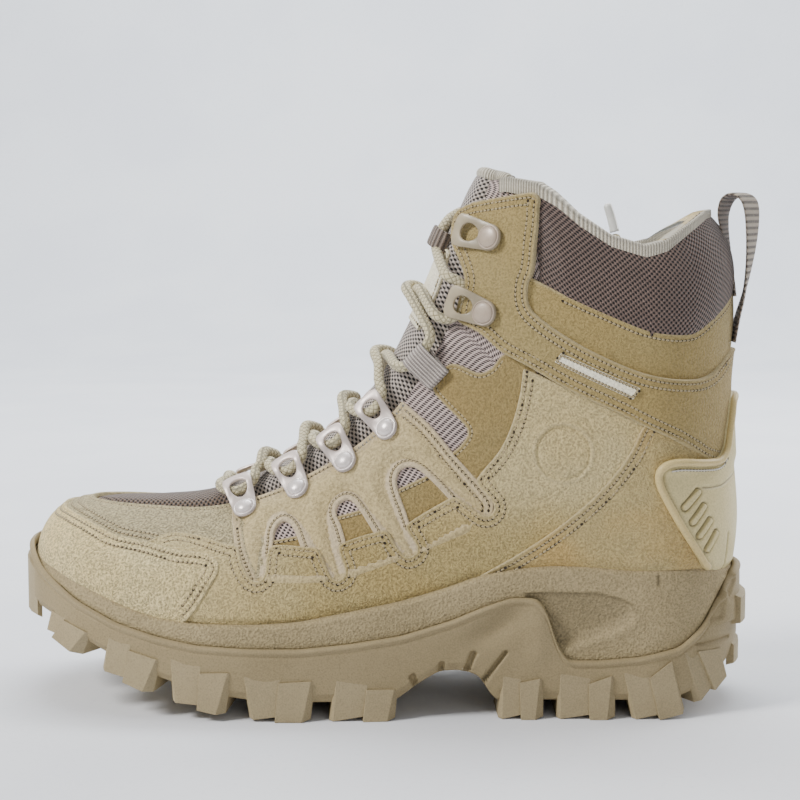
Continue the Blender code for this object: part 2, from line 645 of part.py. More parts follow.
def make_outsole(finish):
    """Tray with a raised edge round the midsole, and the lugs and bumper blocks joined on."""
    def web_edge(x):
        return web_height(x) + 1.5

    def under_edge(x):
        return rand_height(x) - 3.0

    def inner_edge(x):
        return rand_height(x) - 0.2

    def floor(x):
        return seat_height(x) - GAP
    rings = [
        outline(OUTSOLE_OUT - 3.0, web_height),
        outline(OUTSOLE_OUT, web_edge),
        outline(OUTSOLE_OUT + RAND_SWELL, under_edge),
        outline(OUTSOLE_OUT, rand_height),
        outline(MIDSOLE_OUT + GAP + 0.2, inner_edge),
        outline(MIDSOLE_OUT + GAP + 0.1, floor),
    ]
    body = ringed_solid("outsole", rings, finish)
    lugs = []
    front, rear = OUTSOLE_OUT + LUG_OUT, OUTSOLE_OUT + LUG_OUT + LUG_STEP
    for start, step, end, top in SIDE_LUGS:
        for side in (-1, 1):
            lugs.append(side_lug(start, step + 0.4, top, front, side))
            lugs.append(side_lug(step, end, top - LUG_STEP_DOWN, rear, side))
    lugs += [centre_lug(*row) for row in CENTRE_LUGS]
    for s_from, s_to, out, low, high in BUMPERS:
        for side in ((0,) if s_from in (0, HEEL_ROW) else (-1, 1)):
            lugs.append(bumper(s_from, s_to, out, low, high, side))
    return join(body, lugs, "outsole")


# ---- heel counter ----------------------------------------------------------------------------
def side_surface(x, z, side, lift=0.0):
    """Point on the upper over (x, z), moved out along the normal by lift."""
    s, t = side_coordinates(x, z)
    t = np.clip(t, 0, 1)
    return upper_point(s, t, side) + upper_normal(s, np.clip(t, 2e-3, 1), side) * lift


def make_heel_counter(finish):
    reach = np.sin(np.pi / 2 * np.linspace(0, 1, 7))
    layers = []
    for lift in (COUNTER_THICK + COUNTER_GAP, COUNTER_GAP):
        rows = []
        for z, front in COUNTER_EDGE:
            x = front + (float(back_x(z)) - 0.05 - front) * reach
            outer = side_surface(x, np.full(7, z), -1, lift)
            inner = side_surface(x, np.full(7, z), 1, lift)
            middle = (outer[-1:] + inner[-1:]) / 2
            rows.append(np.concatenate([outer[:-1], middle, inner[-2::-1]]))
        layers.append(np.array(rows))
    return thick_sheet("heel_counter", *layers, finish)


# ---- hardware --------------------------------------------------------------------------------
def frame_on_upper(s, y, side, lift=GAP):
    """Origin, direction to the ridge, direction along the boot and normal, on the upper."""
    t = across_at(s, y, side)
    n = upper_normal(s, t, side)
    u = upper_point(s, t + 0.01, side) - upper_point(s, t - 0.01, side)
    u = u - n * np.dot(u, n)
    u /= np.linalg.norm(u)
    return upper_point(s, t, side) + n * lift, u, np.cross(n, u), n


def placed(frame, u, v, n):
    origin, along, across, normal = frame
    u, v, n = np.broadcast_arrays(u, v, n)
    return origin + u[..., None] * along + v[..., None] * across + n[..., None] * normal


def loops_solid(name, loops):
    """Closed solid through loops that follow each other round and back to the first."""
    loops = np.array(loops)
    count, around = loops.shape[:2]
    faces = grid_faces(count, around, close_rows=True, close_columns=True)
    mesh = mesh_of(name, loops.reshape(-1, 3), faces)
    made = bpy.data.objects.new(name, mesh)
    bpy.context.collection.objects.link(made)
    return made


def capped_solid(name, loops):
    """Closed solid through loops, with a face over the first and the last."""
    loops = np.array(loops)
    count, around = loops.shape[:2]
    faces = grid_faces(count, around, close_columns=True)
    faces += [list(range(around)), list(range((count - 1) * around, count * around))]
    mesh = mesh_of(name, loops.reshape(-1, 3), faces)
    made = bpy.data.objects.new(name, mesh)
    bpy.context.collection.objects.link(made)
    return made


def dress(made, finish, sharp_angle=0.7):
    made.data.materials.append(finish)
    made.data.shade_smooth()
    made.data.set_sharp_from_angle(angle=sharp_angle)
    return made


def plate_with_rivet(name, frame, plate, finish):
    """Rounded plate with an eye, from behind the rivet to its length along u, and a domed rivet."""
    size = dict(zip(PLATE_COLUMNS, plate))
    length, half_wide, rivet, thick = (size[k] for k in ("length", "half_wide", "rivet", "thick"))
    turn = np.linspace(0, 2 * np.pi, 10, endpoint=False)
    behind = rivet + 1.6
    front = np.cos(turn) > 0
    nose = half_wide * 0.5
    u = np.where(front, length - nose, 0.0) + np.where(front, nose, behind) * np.cos(turn)
    v = np.where(np.cos(turn) > 0.2, half_wide, behind + 0.3)
    v *= np.sign(np.sin(turn)) * np.abs(np.sin(turn))**0.7
    hole_u = size["hole_at"] + size["hole_u"] * np.cos(turn)
    hole_v = size["hole_v"] * np.sin(turn)
    loops = [placed(frame, u, v, 0.0), placed(frame, u, v, thick),
             placed(frame, hole_u, hole_v, thick), placed(frame, hole_u, hole_v, 0.0)]
    made = loops_solid(name, loops)
    profile = ((1.0, thick * 0.4), (1.0, thick + 0.6), (0.75, thick + 1.6), (0.3, thick + 2.1))
    dome = [placed(frame, rivet * r * np.cos(turn), rivet * r * np.sin(turn), n)
            for r, n in profile]
    return join(dress(made, finish), [capped_solid("rivet", dome)], name)


def plate_frame(s, y, side, turn=0.0):
    """Frame of a plate that lies flat at a row and half width, with its origin at its rivet."""
    origin, along, across, normal = frame_on_upper(s, y, side, PLATE_LIFT)
    angle = -side * np.radians(turn)
    along, across = (np.cos(angle) * along + np.sin(angle) * across,
                     np.cos(angle) * across - np.sin(angle) * along)
    return origin - PLATE_MIDDLE * along, along, across, normal


def make_hardware(finish, webbing):
    for side, end in ((-1, "out"), (1, "in")):
        for number, s in enumerate(RING_ROWS, 1):
            frame = plate_frame(s, RING_Y, side)
            plate_with_rivet(f"lace_ring_{end}_{number}", frame, RING_PLATE, finish)
        for number, (s, y, turn) in enumerate(HOOKS, 1):
            frame = plate_frame(s, y, side, turn)
            plate_with_rivet(f"hook_{end}_{number}", frame, HOOK_PLATE, finish)
        make_web_loop(f"web_loop_{end}", side, webbing)


def strap(name, centre, half_width, thick, finish):
    """Strap carried along a line: centre points, half width vectors and the thickness direction."""
    centre, half_width, thick = (np.array(a, float) for a in (centre, half_width, thick))
    loops = np.stack([centre - half_width - thick, centre + half_width - thick,
                      centre + half_width + thick, centre - half_width + thick], 1)
    return dress(capped_solid(name, loops), finish)


def make_web_loop(name, side, finish):
    """Folded webbing: two layers on the upper and a round fold over the throat's edge."""
    frame = frame_on_upper(WEB_LOOP_ROW, WEB_LOOP_Y, side, 0.5)
    bend, thick, half_length = WEB_LOOP_BEND, WEB_LOOP_THICK, WEB_LOOP_LENGTH / 2
    turn = np.linspace(-np.pi / 2, np.pi / 2, 7)
    u = np.concatenate([[-2 * half_length, -half_length], half_length + bend * np.cos(turn),
                        [-half_length, -2 * half_length]])
    n = np.concatenate([[thick, thick], bend + thick + bend * np.sin(turn),
                        [1.6 * bend + thick, 3.4 * thick]])
    step_u, step_n = np.gradient(u), np.gradient(n)
    size = np.hypot(step_u, step_n)
    level = (np.zeros(3), *frame[1:])
    normal = placed(level, -step_n / size, 0.0, step_u / size) * thick
    width = np.repeat(placed(level, 0.0, WEB_LOOP_HALF, 0.0)[None], len(u), 0)
    return strap(name, placed(frame, u, 0.0, n), width, normal, finish)


def make_pull_loop(finish):
    x, z, turn = PULL_LOOP.T
    turn = np.radians(turn)
    centre = np.stack([x, np.zeros_like(x), z], 1)
    half = PULL_LOOP_HALF * np.stack([np.sin(turn), np.cos(turn), np.zeros_like(x)], 1)
    along = np.gradient(centre, axis=0)
    normal = np.cross(along, half)
    normal *= PULL_LOOP_THICK / np.linalg.norm(normal, axis=1, keepdims=True)
    return strap("pull_loop", centre, half, normal, finish)


# ---- lace ------------------------------------------------------------------------------------
def tube(name, line, radius, sides=6):
    """Closed tube along a line of points."""
    line = np.asarray(line, float)
    along = np.gradient(line, axis=0)
    along /= np.linalg.norm(along, axis=1, keepdims=True)
    up = np.array([1.0, 0.0, 0.3])
    across = np.cross(along, up)
    across /= np.linalg.norm(across, axis=1, keepdims=True)
    second = np.cross(along, across)
    turn = np.linspace(0, 2 * np.pi, sides, endpoint=False)[:, None]
    loops = [p + radius * (np.cos(turn) * a + np.sin(turn) * b)
             for p, a, b in zip(line, across, second)]
    return capped_solid(name, loops)


def lace_line(s_from, s_to, y_from, y_to):
    share = np.linspace(0, 1, 6)
    return tongue_point(s_from + (s_to - s_from) * share, y_from + (y_to - y_from) * share,
                        CORD_RADIUS + LACE_LIFT)


def make_lace(finish):
    first, last = LACE_ROWS[0], LACE_ROWS[-1]
    bar = tube("lace_bar", lace_line(first, first, -LACE_END_Y, LACE_END_Y), CORD_RADIUS)
    dress(bar, finish)
    pairs = [(low + CROSSING_INSET, high - CROSSING_INSET, -LACE_END_Y)
             for low, high in zip(LACE_ROWS, LACE_ROWS[1:])]
    pairs.append((last + CROSSING_INSET, KEEPER_ROW + CROSSING_INSET, LACE_KEEPER_Y))
    for number, (low, high, ending) in enumerate(pairs):
        name = f"lace_cross_{number + 1}"
        one = tube(name, lace_line(low, high, LACE_END_Y, ending), CORD_RADIUS)
        other = tube("cord", lace_line(low, high, -LACE_END_Y, -ending), CORD_RADIUS)
        join(dress(one, finish), [other], name)


def make_tongue_keeper(finish):
    """Webbing bridge on the tongue that the lace runs under."""
    share = np.linspace(-1, 1, 9)
    rise = 2 * CORD_RADIUS + KEEPER_ROOM
    lift = KEEPER_LIFT + rise * np.sqrt(np.clip(1 - np.abs(share)**4, 0, 1))
    centre = tongue_point(KEEPER_ROW, share * KEEPER_HALF_Y, lift)
    before = tongue_point(KEEPER_ROW - 0.3, share * KEEPER_HALF_Y, lift)
    after = tongue_point(KEEPER_ROW + 0.3, share * KEEPER_HALF_Y, lift)
    half = after - before
    half *= KEEPER_HALF_WIDE / np.linalg.norm(half, axis=1, keepdims=True)
    normal = np.cross(np.gradient(centre, axis=0), half)
    normal *= 0.5 / np.linalg.norm(normal, axis=1, keepdims=True)
    return strap("tongue_keeper", centre, half, normal, finish)


def smooth_line(points, count):
    """Catmull-Rom curve through the points, read at equal steps of its parameter."""
    p = np.array(points, float)
    p = np.concatenate([[2 * p[0] - p[1]], p, [2 * p[-1] - p[-2]]])
    place = np.linspace(0, len(p) - 3, count)
    k = np.minimum(place.astype(int), len(p) - 4)
    f = (place - k)[:, None]
    a, b, c, d = p[k], p[k + 1], p[k + 2], p[k + 3]
    return 0.5 * (2 * b + (c - a) * f + (2 * a - 5 * b + 4 * c - d) * f**2
                  + (3 * b - a - 3 * c + d) * f**3)


def make_lace_end(finish, tip_finish):
    route = bpy.data.curves.new("lace_end", "CURVE")
    route.dimensions = "3D"
    route.bevel_depth = CORD_RADIUS * MM
    route.bevel_resolution = 2
    route.use_fill_caps = True
    line = (smooth_line(LACE_END_ROUTE, LACE_END_POINTS) + SHIFT) * MM
    run = route.splines.new("POLY")
    run.points.add(len(line) - 1)
    run.points.foreach_set("co", np.c_[line, np.ones(len(line))].astype(np.float32).ravel())
    route.materials.append(finish)
    made = bpy.data.objects.new("lace_end", route)
    bpy.context.collection.objects.link(made)
    dress(tube("lace_tip", TIP_LINE, TIP_RADIUS), tip_finish)


def main():
    for old in list(bpy.data.objects):
        bpy.data.objects.remove(old)
    suede = material("suede", (0.50, 0.40, 0.26), 0.85)
    mesh_fabric = material("mesh_fabric", (0.33, 0.28, 0.23), 0.9)
    foam = material("midsole_foam", (0.42, 0.36, 0.27), 0.7)
    rubber = material("outsole_rubber", (0.40, 0.34, 0.22), 0.6)
    lining = material("lining", (0.55, 0.54, 0.50), 0.9)
    moulding = material("counter_moulding", (0.52, 0.45, 0.31), 0.5)
    metal = material("hardware_metal", (0.72, 0.70, 0.66), 0.35, 1.0)
    webbing = material("webbing", (0.45, 0.39, 0.33), 0.85)
    cord = material("lace_cord", (0.68, 0.61, 0.45), 0.8)
    clear_tip = material("lace_tip", (0.80, 0.80, 0.78), 0.3)
    make_upper(suede)
    make_tongue(mesh_fabric)
    make_insole(lining)
    make_midsole(foam)
    make_outsole(rubber)
    make_heel_counter(moulding)
    make_hardware(metal, webbing)
    make_pull_loop(webbing)
    make_tongue_keeper(webbing)
    make_lace(cord)
    make_lace_end(cord, clear_tip)


main()
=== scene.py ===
"""Looks of a mid-height lace-up field boot for the left foot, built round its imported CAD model.

The toe points along -X, the outer side of the foot is -Y and +Z is up. Lengths are in
millimetres until a mesh is made. The upper's surface is ruled: a point lies at s along the boot,
from the toe up the heel to the collar, and at t across it, from the feather line (0) to the
ridge (1). Flat patterns for the sewn pieces are drawn on three charts of that surface: the side
(x, z), the toe (across the ridge) and the shaft (round the heel).
"""

import json

import bpy
import numpy as np
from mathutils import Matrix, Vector
from mathutils.bvhtree import BVHTree
from mathutils.geometry import delaunay_2d_cdt

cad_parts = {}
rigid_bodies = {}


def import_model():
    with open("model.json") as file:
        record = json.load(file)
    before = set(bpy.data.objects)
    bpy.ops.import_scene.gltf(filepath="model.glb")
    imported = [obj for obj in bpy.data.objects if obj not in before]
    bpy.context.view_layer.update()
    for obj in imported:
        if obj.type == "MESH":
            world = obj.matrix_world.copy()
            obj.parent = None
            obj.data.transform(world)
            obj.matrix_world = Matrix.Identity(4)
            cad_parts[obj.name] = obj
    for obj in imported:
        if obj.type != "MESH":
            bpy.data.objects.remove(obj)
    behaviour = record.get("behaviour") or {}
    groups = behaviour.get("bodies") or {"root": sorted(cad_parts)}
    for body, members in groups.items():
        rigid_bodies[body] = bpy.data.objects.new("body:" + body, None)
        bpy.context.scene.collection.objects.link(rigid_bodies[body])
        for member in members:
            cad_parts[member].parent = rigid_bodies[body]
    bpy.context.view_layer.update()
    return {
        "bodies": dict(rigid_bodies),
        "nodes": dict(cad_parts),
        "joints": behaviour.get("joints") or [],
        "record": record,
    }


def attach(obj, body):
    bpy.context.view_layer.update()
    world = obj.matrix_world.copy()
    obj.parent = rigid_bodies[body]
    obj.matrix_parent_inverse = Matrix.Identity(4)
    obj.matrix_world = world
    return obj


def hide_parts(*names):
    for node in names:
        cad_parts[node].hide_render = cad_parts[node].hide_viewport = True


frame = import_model()

MM = 0.001
SHIFT = np.array([0.15, 0.05, 0.0])   # brings the middle of the boot's box over the origin

# ---- the upper's sections, as the CAD model has them -------------------------------------------
SECTION_COLUMNS = ("base_x", "base_z", "ridge_x", "ridge_z", "low_out", "mid_out", "high_out",
                   "low_in", "mid_in", "high_in", "squareness", "gap", "wall")
SECTIONS = np.array([
    (-147.0, 50.0, -147.0, 50.0, 0.0, 0.0, 0.0, 0.0, 0.0, 0.0, 3.2, 0.0, 2.8),
    (-145.3, 49.5, -148.0, 57.5, 14.0, 13.0, 12.0, 13.5, 12.5, 11.5, 3.2, 0.0, 2.8),
    (-140.3, 48.3, -147.0, 66.0, 26.0, 25.5, 22.0, 24.5, 23.5, 20.0, 3.2, 0.0, 2.8),
    (-131.0, 46.0, -142.0, 73.5, 36.5, 36.0, 31.0, 34.0, 33.5, 28.0, 3.2, 0.0, 2.8),
    (-118.0, 42.5, -133.0, 79.0, 44.0, 43.5, 36.0, 41.5, 40.5, 33.0, 3.2, 0.0, 2.6),
    (-98.0, 38.0, -117.0, 81.5, 48.5, 47.0, 37.0, 46.0, 44.0, 35.0, 3.2, 13.0, 2.4),
    (-74.0, 34.0, -97.0, 82.5, 50.5, 48.0, 35.0, 48.5, 45.0, 34.0, 3.3, 17.0, 2.4),
    (-48.0, 32.0, -76.0, 85.0, 50.5, 46.5, 32.0, 48.0, 43.5, 31.0, 3.6, 20.0, 2.4),
    (-20.0, 33.0, -54.0, 92.5, 48.0, 43.5, 29.0, 43.5, 40.0, 28.5, 4.2, 21.5, 2.4),
    (8.0, 37.0, -35.0, 103.5, 44.5, 40.5, 27.0, 38.0, 37.0, 27.0, 5.0, 22.0, 2.4),
    (38.0, 43.5, -17.0, 117.0, 41.0, 38.5, 26.0, 35.0, 35.5, 26.0, 5.8, 22.5, 2.4),
    (72.0, 47.0, -3.0, 134.5, 38.5, 38.0, 25.0, 34.5, 36.0, 25.0, 6.5, 22.5, 2.4),
    (108.0, 47.0, 7.5, 154.0, 37.0, 38.5, 25.0, 36.0, 37.0, 25.0, 7.0, 22.0, 2.6),
    (140.0, 47.0, 16.0, 172.5, 36.5, 39.0, 25.0, 36.0, 38.0, 25.0, 7.5, 21.5, 3.0),
    (143.0, 75.0, 21.5, 186.0, 34.0, 39.0, 25.0, 33.5, 38.5, 25.0, 8.0, 20.5, 3.2),
    (141.0, 104.0, 26.0, 196.0, 31.0, 38.5, 25.0, 31.0, 38.5, 25.0, 8.0, 20.0, 3.6),
    (140.0, 132.0, 30.0, 204.5, 29.0, 37.5, 25.0, 29.0, 37.5, 25.0, 8.0, 19.5, 5.0),
    (142.0, 162.0, 33.0, 211.0, 29.5, 37.5, 26.0, 29.5, 37.5, 26.0, 8.0, 19.0, 8.0),
    (138.0, 190.0, 36.0, 216.5, 31.0, 38.0, 27.0, 31.0, 38.0, 27.0, 8.0, 18.5, 8.0),
    (127.0, 210.0, 39.0, 222.0, 32.0, 38.5, 28.0, 32.0, 38.5, 28.0, 8.0, 18.0, 8.0),
])
LAST_ROW = len(SECTIONS) - 1
HEEL_ROW = 13                         # the row at which the base line turns up the heel
HEEL_ROUND, HEEL_SQUARENESS = 36.0, 2.2
TOE_SWING, SWING_START, SWING_LONG = 7.0, -20.0, 127.0
SIDES = ((-1, "out"), (1, "in"))
COLLAR = np.array([(20, 214.0), (38, 214.5), (50, 216.0), (62, 213.5), (76, 201.5), (90, 193.0),
                   (104, 189.0), (112, 191.0), (120, 197.0), (128, 202.5), (145, 206.0)])


def unit(vectors):
    """The vectors at length 1."""
    return vectors / np.linalg.norm(vectors, axis=-1, keepdims=True)


def hermite(f, here, leave, ahead, arrive):
    """Cubic from here to ahead at the share f, with its slopes at both ends."""
    return ((2 * f**3 - 3 * f**2 + 1) * here + (f**3 - 2 * f**2 + f) * leave
            + (3 * f**2 - 2 * f**3) * ahead + (f**3 - f**2) * arrive)


def bell(value, reach):
    """1 where the value is 0, falling off smoothly over about reach on both sides."""
    return np.exp(-(value / reach)**2)


def smooth_share(value):
    """Smooth step: 3 v^2 - 2 v^3 of a value kept from 0 to 1."""
    value = np.clip(value, 0, 1)
    return value * value * (3 - 2 * value)


def round_turn(count):
    """Angles of even points round a circle."""
    return np.linspace(0, 2 * np.pi, count, endpoint=False)


def spline(column, s, first=0, last=LAST_ROW):
    """Catmull-Rom curve through a column of SECTIONS, between two rows."""
    values = SECTIONS[first:last + 1, SECTION_COLUMNS.index(column)]
    steps = last - first
    place = np.clip(np.asarray(s, float) - first, 0, steps)
    row = np.minimum(place.astype(int), steps - 1)
    f = place - row
    here, ahead = values[row], values[row + 1]
    before = np.where(row > 0, values[np.maximum(row - 1, 0)], 2 * here - ahead)
    after = np.where(row < steps - 1, values[np.minimum(row + 2, steps)], 2 * ahead - here)
    return hermite(f, here, (ahead - before) / 2, ahead, (after - here) / 2)


def base(column, s):
    """The base line, which turns a corner at the heel: one curve before it and one after it."""
    s = np.asarray(s, float)
    return np.where(s <= HEEL_ROW, spline(column, s, 0, HEEL_ROW),
                    spline(column, s, HEEL_ROW, LAST_ROW))


BACK_S = np.linspace(HEEL_ROW, LAST_ROW, 1201)
BACK = base("base_z", BACK_S), base("base_x", BACK_S)
NOSE_S = np.linspace(0, 3, 301)
NOSE = spline("ridge_z", NOSE_S), spline("ridge_x", NOSE_S)


def back_x(z):
    """X of the boot's back at a height."""
    return np.interp(z, *BACK)


def nose_x(z):
    """X of the toe's front at a height."""
    return np.interp(z, *NOSE)


def swing(x):
    """How far the foot's middle line swings to the inner side at x."""
    return TOE_SWING * np.clip((SWING_START - x) / SWING_LONG, 0, 2)**2


def half_width(s, t, side):
    """Half width of the section: a parabola through low, middle and high, rounded at the ridge."""
    outer, inner = ([spline(name + end, s) for name in ("low", "mid", "high")]
                    for end in ("_out", "_in"))
    low, mid, high = (np.where(np.asarray(side) < 0, a, b) for a, b in zip(outer, inner))
    wide = low * (1 - t) * (1 - 2 * t) + 4 * mid * t * (1 - t) + high * t * (2 * t - 1)
    return wide * np.sqrt(np.clip(1 - t**spline("squareness", s), 0, 1))


def heel_narrowing(x, z):
    """Share of the half width left near the back: a superellipse's end."""
    depth = np.clip((back_x(z) - x) / HEEL_ROUND, 0, 1)
    return np.sqrt(np.clip(1 - (1 - depth)**HEEL_SQUARENESS, 0, 1))


def upper_point(s, t, side):
    """Point on the upper's outer surface, side -1 outer and +1 inner."""
    s, t = np.broadcast_arrays(np.asarray(s, float), np.asarray(t, float))
    x = base("base_x", s) + (spline("ridge_x", s) - base("base_x", s)) * t
    z = base("base_z", s) + (spline("ridge_z", s) - base("base_z", s)) * t
    y = side * half_width(s, t, side) * heel_narrowing(x, z) + swing(x)
    return np.stack([x, y, z], -1)


def upper_normal(s, t, side):
    """Outward normal, from steps along s and t."""
    step = 1e-3
    along = upper_point(s + step, t, side) - upper_point(s - step, t, side)
    t_high = np.minimum(t + step, 1)
    across = upper_point(s, t_high, side) - upper_point(s, t_high - 2 * step, side)
    return unit(np.cross(across, along) * np.asarray(side)[..., None])


def bisect(test, low, high, steps=32):
    """The value between low and high where test turns from true to false."""
    for _ in range(steps):
        middle = (low + high) / 2
        true = test(middle)
        low, high = np.where(true, middle, low), np.where(true, high, middle)
    return (low + high) / 2


def side_coordinates(x, z):
    """(s, t) of the place on the upper with this x and z."""
    x, z = np.broadcast_arrays(np.asarray(x, float), np.asarray(z, float))

    def behind(s):
        base_x, base_z = base("base_x", s), base("base_z", s)
        run, rise = spline("ridge_x", s) - base_x, spline("ridge_z", s) - base_z
        return run * (z - base_z) - rise * (x - base_x) < 0

    s = bisect(behind, np.full(x.shape, 0.02), np.full(x.shape, float(LAST_ROW)))
    base_x, base_z = base("base_x", s), base("base_z", s)
    dx, dz = spline("ridge_x", s) - base_x, spline("ridge_z", s) - base_z
    return s, ((x - base_x) * dx + (z - base_z) * dz) / (dx**2 + dz**2)


def across_at(s, y, side):
    """t at which the section's half width is y, on the side of the ridge."""
    s, y = np.broadcast_arrays(np.asarray(s, float), np.asarray(y, float))
    return bisect(lambda t: half_width(s, t, side) > y, np.full(s.shape, 0.35),
                  np.full(s.shape, 1.0))


def throat_edge(s, side):
    """t of the throat's edge."""
    return across_at(s, spline("gap", s), side)


def width_at(x, z, side):
    """Half width of the upper at this x and z, narrowed round the heel."""
    s, t = side_coordinates(x, z)
    return half_width(s, np.clip(t, 0, 1), side) * heel_narrowing(x, z)


# ---- charts of the upper ------------------------------------------------------------------------
def side_chart(side):
    """Chart with x and z for its two directions: a flat pattern seen from the side."""
    def place(flat, lift=0.0):
        s, t = side_coordinates(flat[..., 0], flat[..., 1])
        t = np.clip(t, 0, 0.9995)
        point = upper_point(s, t, side)
        return point + upper_normal(s, np.clip(t, 2e-3, 0.998), side) * np.asarray(lift)[..., None]
    return place


TOE_WIDE, TOE_LONG = 60.0, 20.0   # the toe chart's size for c from 0 to 1, and for one row


def toe_chart(flat, lift=0.0):
    """Chart over the ridge: c runs from the feather line (-1) over the ridge (0) to the inner
    feather line (1) with t = 1 - c squared, which stays smooth where the two sides meet."""
    def bare(c, s):
        return upper_point(s, np.clip(1 - c**2, 0, 1), np.where(c < 0, -1, 1))
    c, s = flat[..., 0] / TOE_WIDE, flat[..., 1] / TOE_LONG
    step = 0.012
    normal = unit(np.cross(bare(c + step, s) - bare(c - step, s),
                           bare(c, s + step) - bare(c, s - step)))
    return bare(c, s) - normal * np.asarray(lift)[..., None]


SHAFT_STEP = 2.0
SHAFT_Z = np.arange(44.0, 226.0, SHAFT_STEP)
SHAFT_DEPTH = 170 * np.linspace(0, 1, 260)**2


def arc_from_back():
    """Length along each level section from the back line, for each depth in front of it."""
    z = SHAFT_Z[:, None] + 0 * SHAFT_DEPTH
    x = back_x(z) - SHAFT_DEPTH
    arcs = []
    for side, _ in SIDES:
        steps = np.hypot(np.diff(x, axis=1), np.diff(width_at(x, z, side), axis=1))
        arcs.append(np.concatenate([0 * z[:, :1], np.cumsum(steps, axis=1)], 1))
    return arcs


ARC = arc_from_back()
DEPTH_ROOT = np.sqrt(SHAFT_DEPTH)      # grows in proportion to the arc near the back line


def read_shaft(value, z, keys, values, apart=1e4):
    """Values of a table of level sections at a key and a height: its rows are laid end to end,
    apart from each other, and the two rows nearest to the height are blended."""
    row = np.clip((z - SHAFT_Z[0]) / SHAFT_STEP, 0, len(SHAFT_Z) - 1.001)
    low = row.astype(int)
    count = len(SHAFT_Z)
    keys = (np.broadcast_to(keys, (count, len(SHAFT_DEPTH)))
            + apart * np.arange(count)[:, None]).ravel()
    values = np.broadcast_to(values, (count, len(SHAFT_DEPTH))).ravel()
    below, above = (np.interp(value + apart * k, keys, values) for k in (low, low + 1))
    return below + (above - below) * (row - low)


def arc_at(x, z, side):
    """Signed arc length from the back line to the place at x and z: outer side negative."""
    root = np.sqrt(np.clip(back_x(z) - x, 0, None))
    return side * read_shaft(root, z, DEPTH_ROOT, ARC[0 if side < 0 else 1])


def shaft_bare(p, z):
    """Place on the bare upper at a signed arc length from the back line and a height."""
    side = np.where(p < 0, -1, 1)
    roots = [read_shaft(np.abs(p), z, table, DEPTH_ROOT) for table in ARC]
    x = back_x(z) - np.where(side < 0, *roots)**2
    return np.stack([x, side * width_at(x, z, side), z], -1)


def shaft_chart(flat, lift=0.0):
    """Chart round the heel: arc length from the back line, outer side negative, and height."""
    p, z = flat[..., 0], flat[..., 1]
    step = 0.9
    normal = unit(np.cross(shaft_bare(p + step, z) - shaft_bare(p - step, z),
                           shaft_bare(p, z + step) - shaft_bare(p, z - step)))
    return shaft_bare(p, z) + normal * np.asarray(lift)[..., None]


# ---- meshes -------------------------------------------------------------------------------------
def grid_quads(rows, columns, close_rows=False, close_columns=False):
    """Quads of a grid of points stored row by row, as an array of corner numbers."""
    i = np.arange(rows if close_rows else rows - 1)[:, None]
    j = np.arange(columns if close_columns else columns - 1)[None]
    i_next, j_next = (i + 1) % rows, (j + 1) % columns
    corners = [i * columns + j, i * columns + j_next, i_next * columns + j_next,
               i_next * columns + j]
    return np.stack([c + 0 * i + 0 * j for c in corners], -1).reshape(-1, 4)


def new_mesh(name, points, faces, weave=None, bare_nap_and_painted_light=None, numbers=None):
    """Mesh from points in millimetres and one or more arrays of faces. weave gives each point
    its place on the cloth, and the per-point value after it how bare the nap is on leather,
    painted shade in rubber's hollows and a painted highlight on metal tips; numbers picks the
    faces' finishes."""
    faces = faces if isinstance(faces, list) else [faces]
    corners = np.concatenate([f.ravel() for f in faces]).astype(np.int32)
    sizes = np.concatenate([np.full(len(f), f.shape[1]) for f in faces])
    mesh = bpy.data.meshes.new(name)
    mesh.vertices.add(len(points))
    mesh.vertices.foreach_set("co", ((points + SHIFT) * MM).astype(np.float32).ravel())
    mesh.loops.add(len(corners))
    mesh.loops.foreach_set("vertex_index", corners)
    mesh.polygons.add(len(sizes))
    mesh.polygons.foreach_set("loop_start", (np.cumsum(sizes) - sizes).astype(np.int32))
    if numbers is not None:
        mesh.polygons.foreach_set("material_index", np.asarray(numbers, np.int32))
    mesh.update(calc_edges=True)
    mesh.shade_smooth()
    if weave is not None:
        layer = mesh.uv_layers.new(name="weave")
        layer.uv.foreach_set("vector", weave.reshape(-1, 2)[corners].astype(np.float32).ravel())
    # Per point: how bare the nap is on leather, painted shade in rubber's hollows and a painted
    # highlight on metal tips.
    if bare_nap_and_painted_light is not None:
        layer = mesh.attributes.new("bare_nap_and_painted_light", "FLOAT", "POINT")
        layer.data.foreach_set("value", bare_nap_and_painted_light.astype(np.float32).ravel())
    return mesh


def add_piece(name, mesh, finishes, stands_for=(), sharp=None):
    """Object of the boot: rides on its body, in place of CAD nodes."""
    for finish in (finishes if isinstance(finishes, (list, tuple)) else [finishes]):
        mesh.materials.append(finish)
    if sharp is not None:
        mesh.set_sharp_from_angle(angle=np.radians(sharp))
    made = bpy.data.objects.new(name, mesh)
    bpy.context.scene.collection.objects.link(made)
    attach(made, "root")
    if stands_for:
        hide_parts(*stands_for)
    return made


def lined_cloth(name, outside, inside, weave, edge, finishes, rim_finish, stands_for,
                turned=False, closed=False):
    """Cloth outside and a lining inside: two grids joined along an edge of point numbers."""
    count = outside.shape[0] * outside.shape[1]
    quads = grid_quads(*outside.shape[:2])
    ahead = np.roll(edge, -1)
    rim = np.stack([edge, ahead, ahead + count, edge + count], 1)[:None if closed else -1]
    faces = np.concatenate([quads[:, ::-1], quads + count, rim])
    numbers = np.repeat([0, 1, rim_finish], [len(quads), len(quads), len(rim)])
    mesh = new_mesh(name, np.concatenate([outside, inside]).reshape(-1, 3),
                    faces[:, ::-1] if turned else faces, np.concatenate([weave, weave]),
                    numbers=numbers)
    return add_piece(name, mesh, finishes, stands_for)


def finish_with(made, kind, **settings):
    """Adds a modifier with these settings."""
    modifier = made.modifiers.new(kind.title(), kind)
    for key, value in settings.items():
        setattr(modifier, key, value)
    return modifier


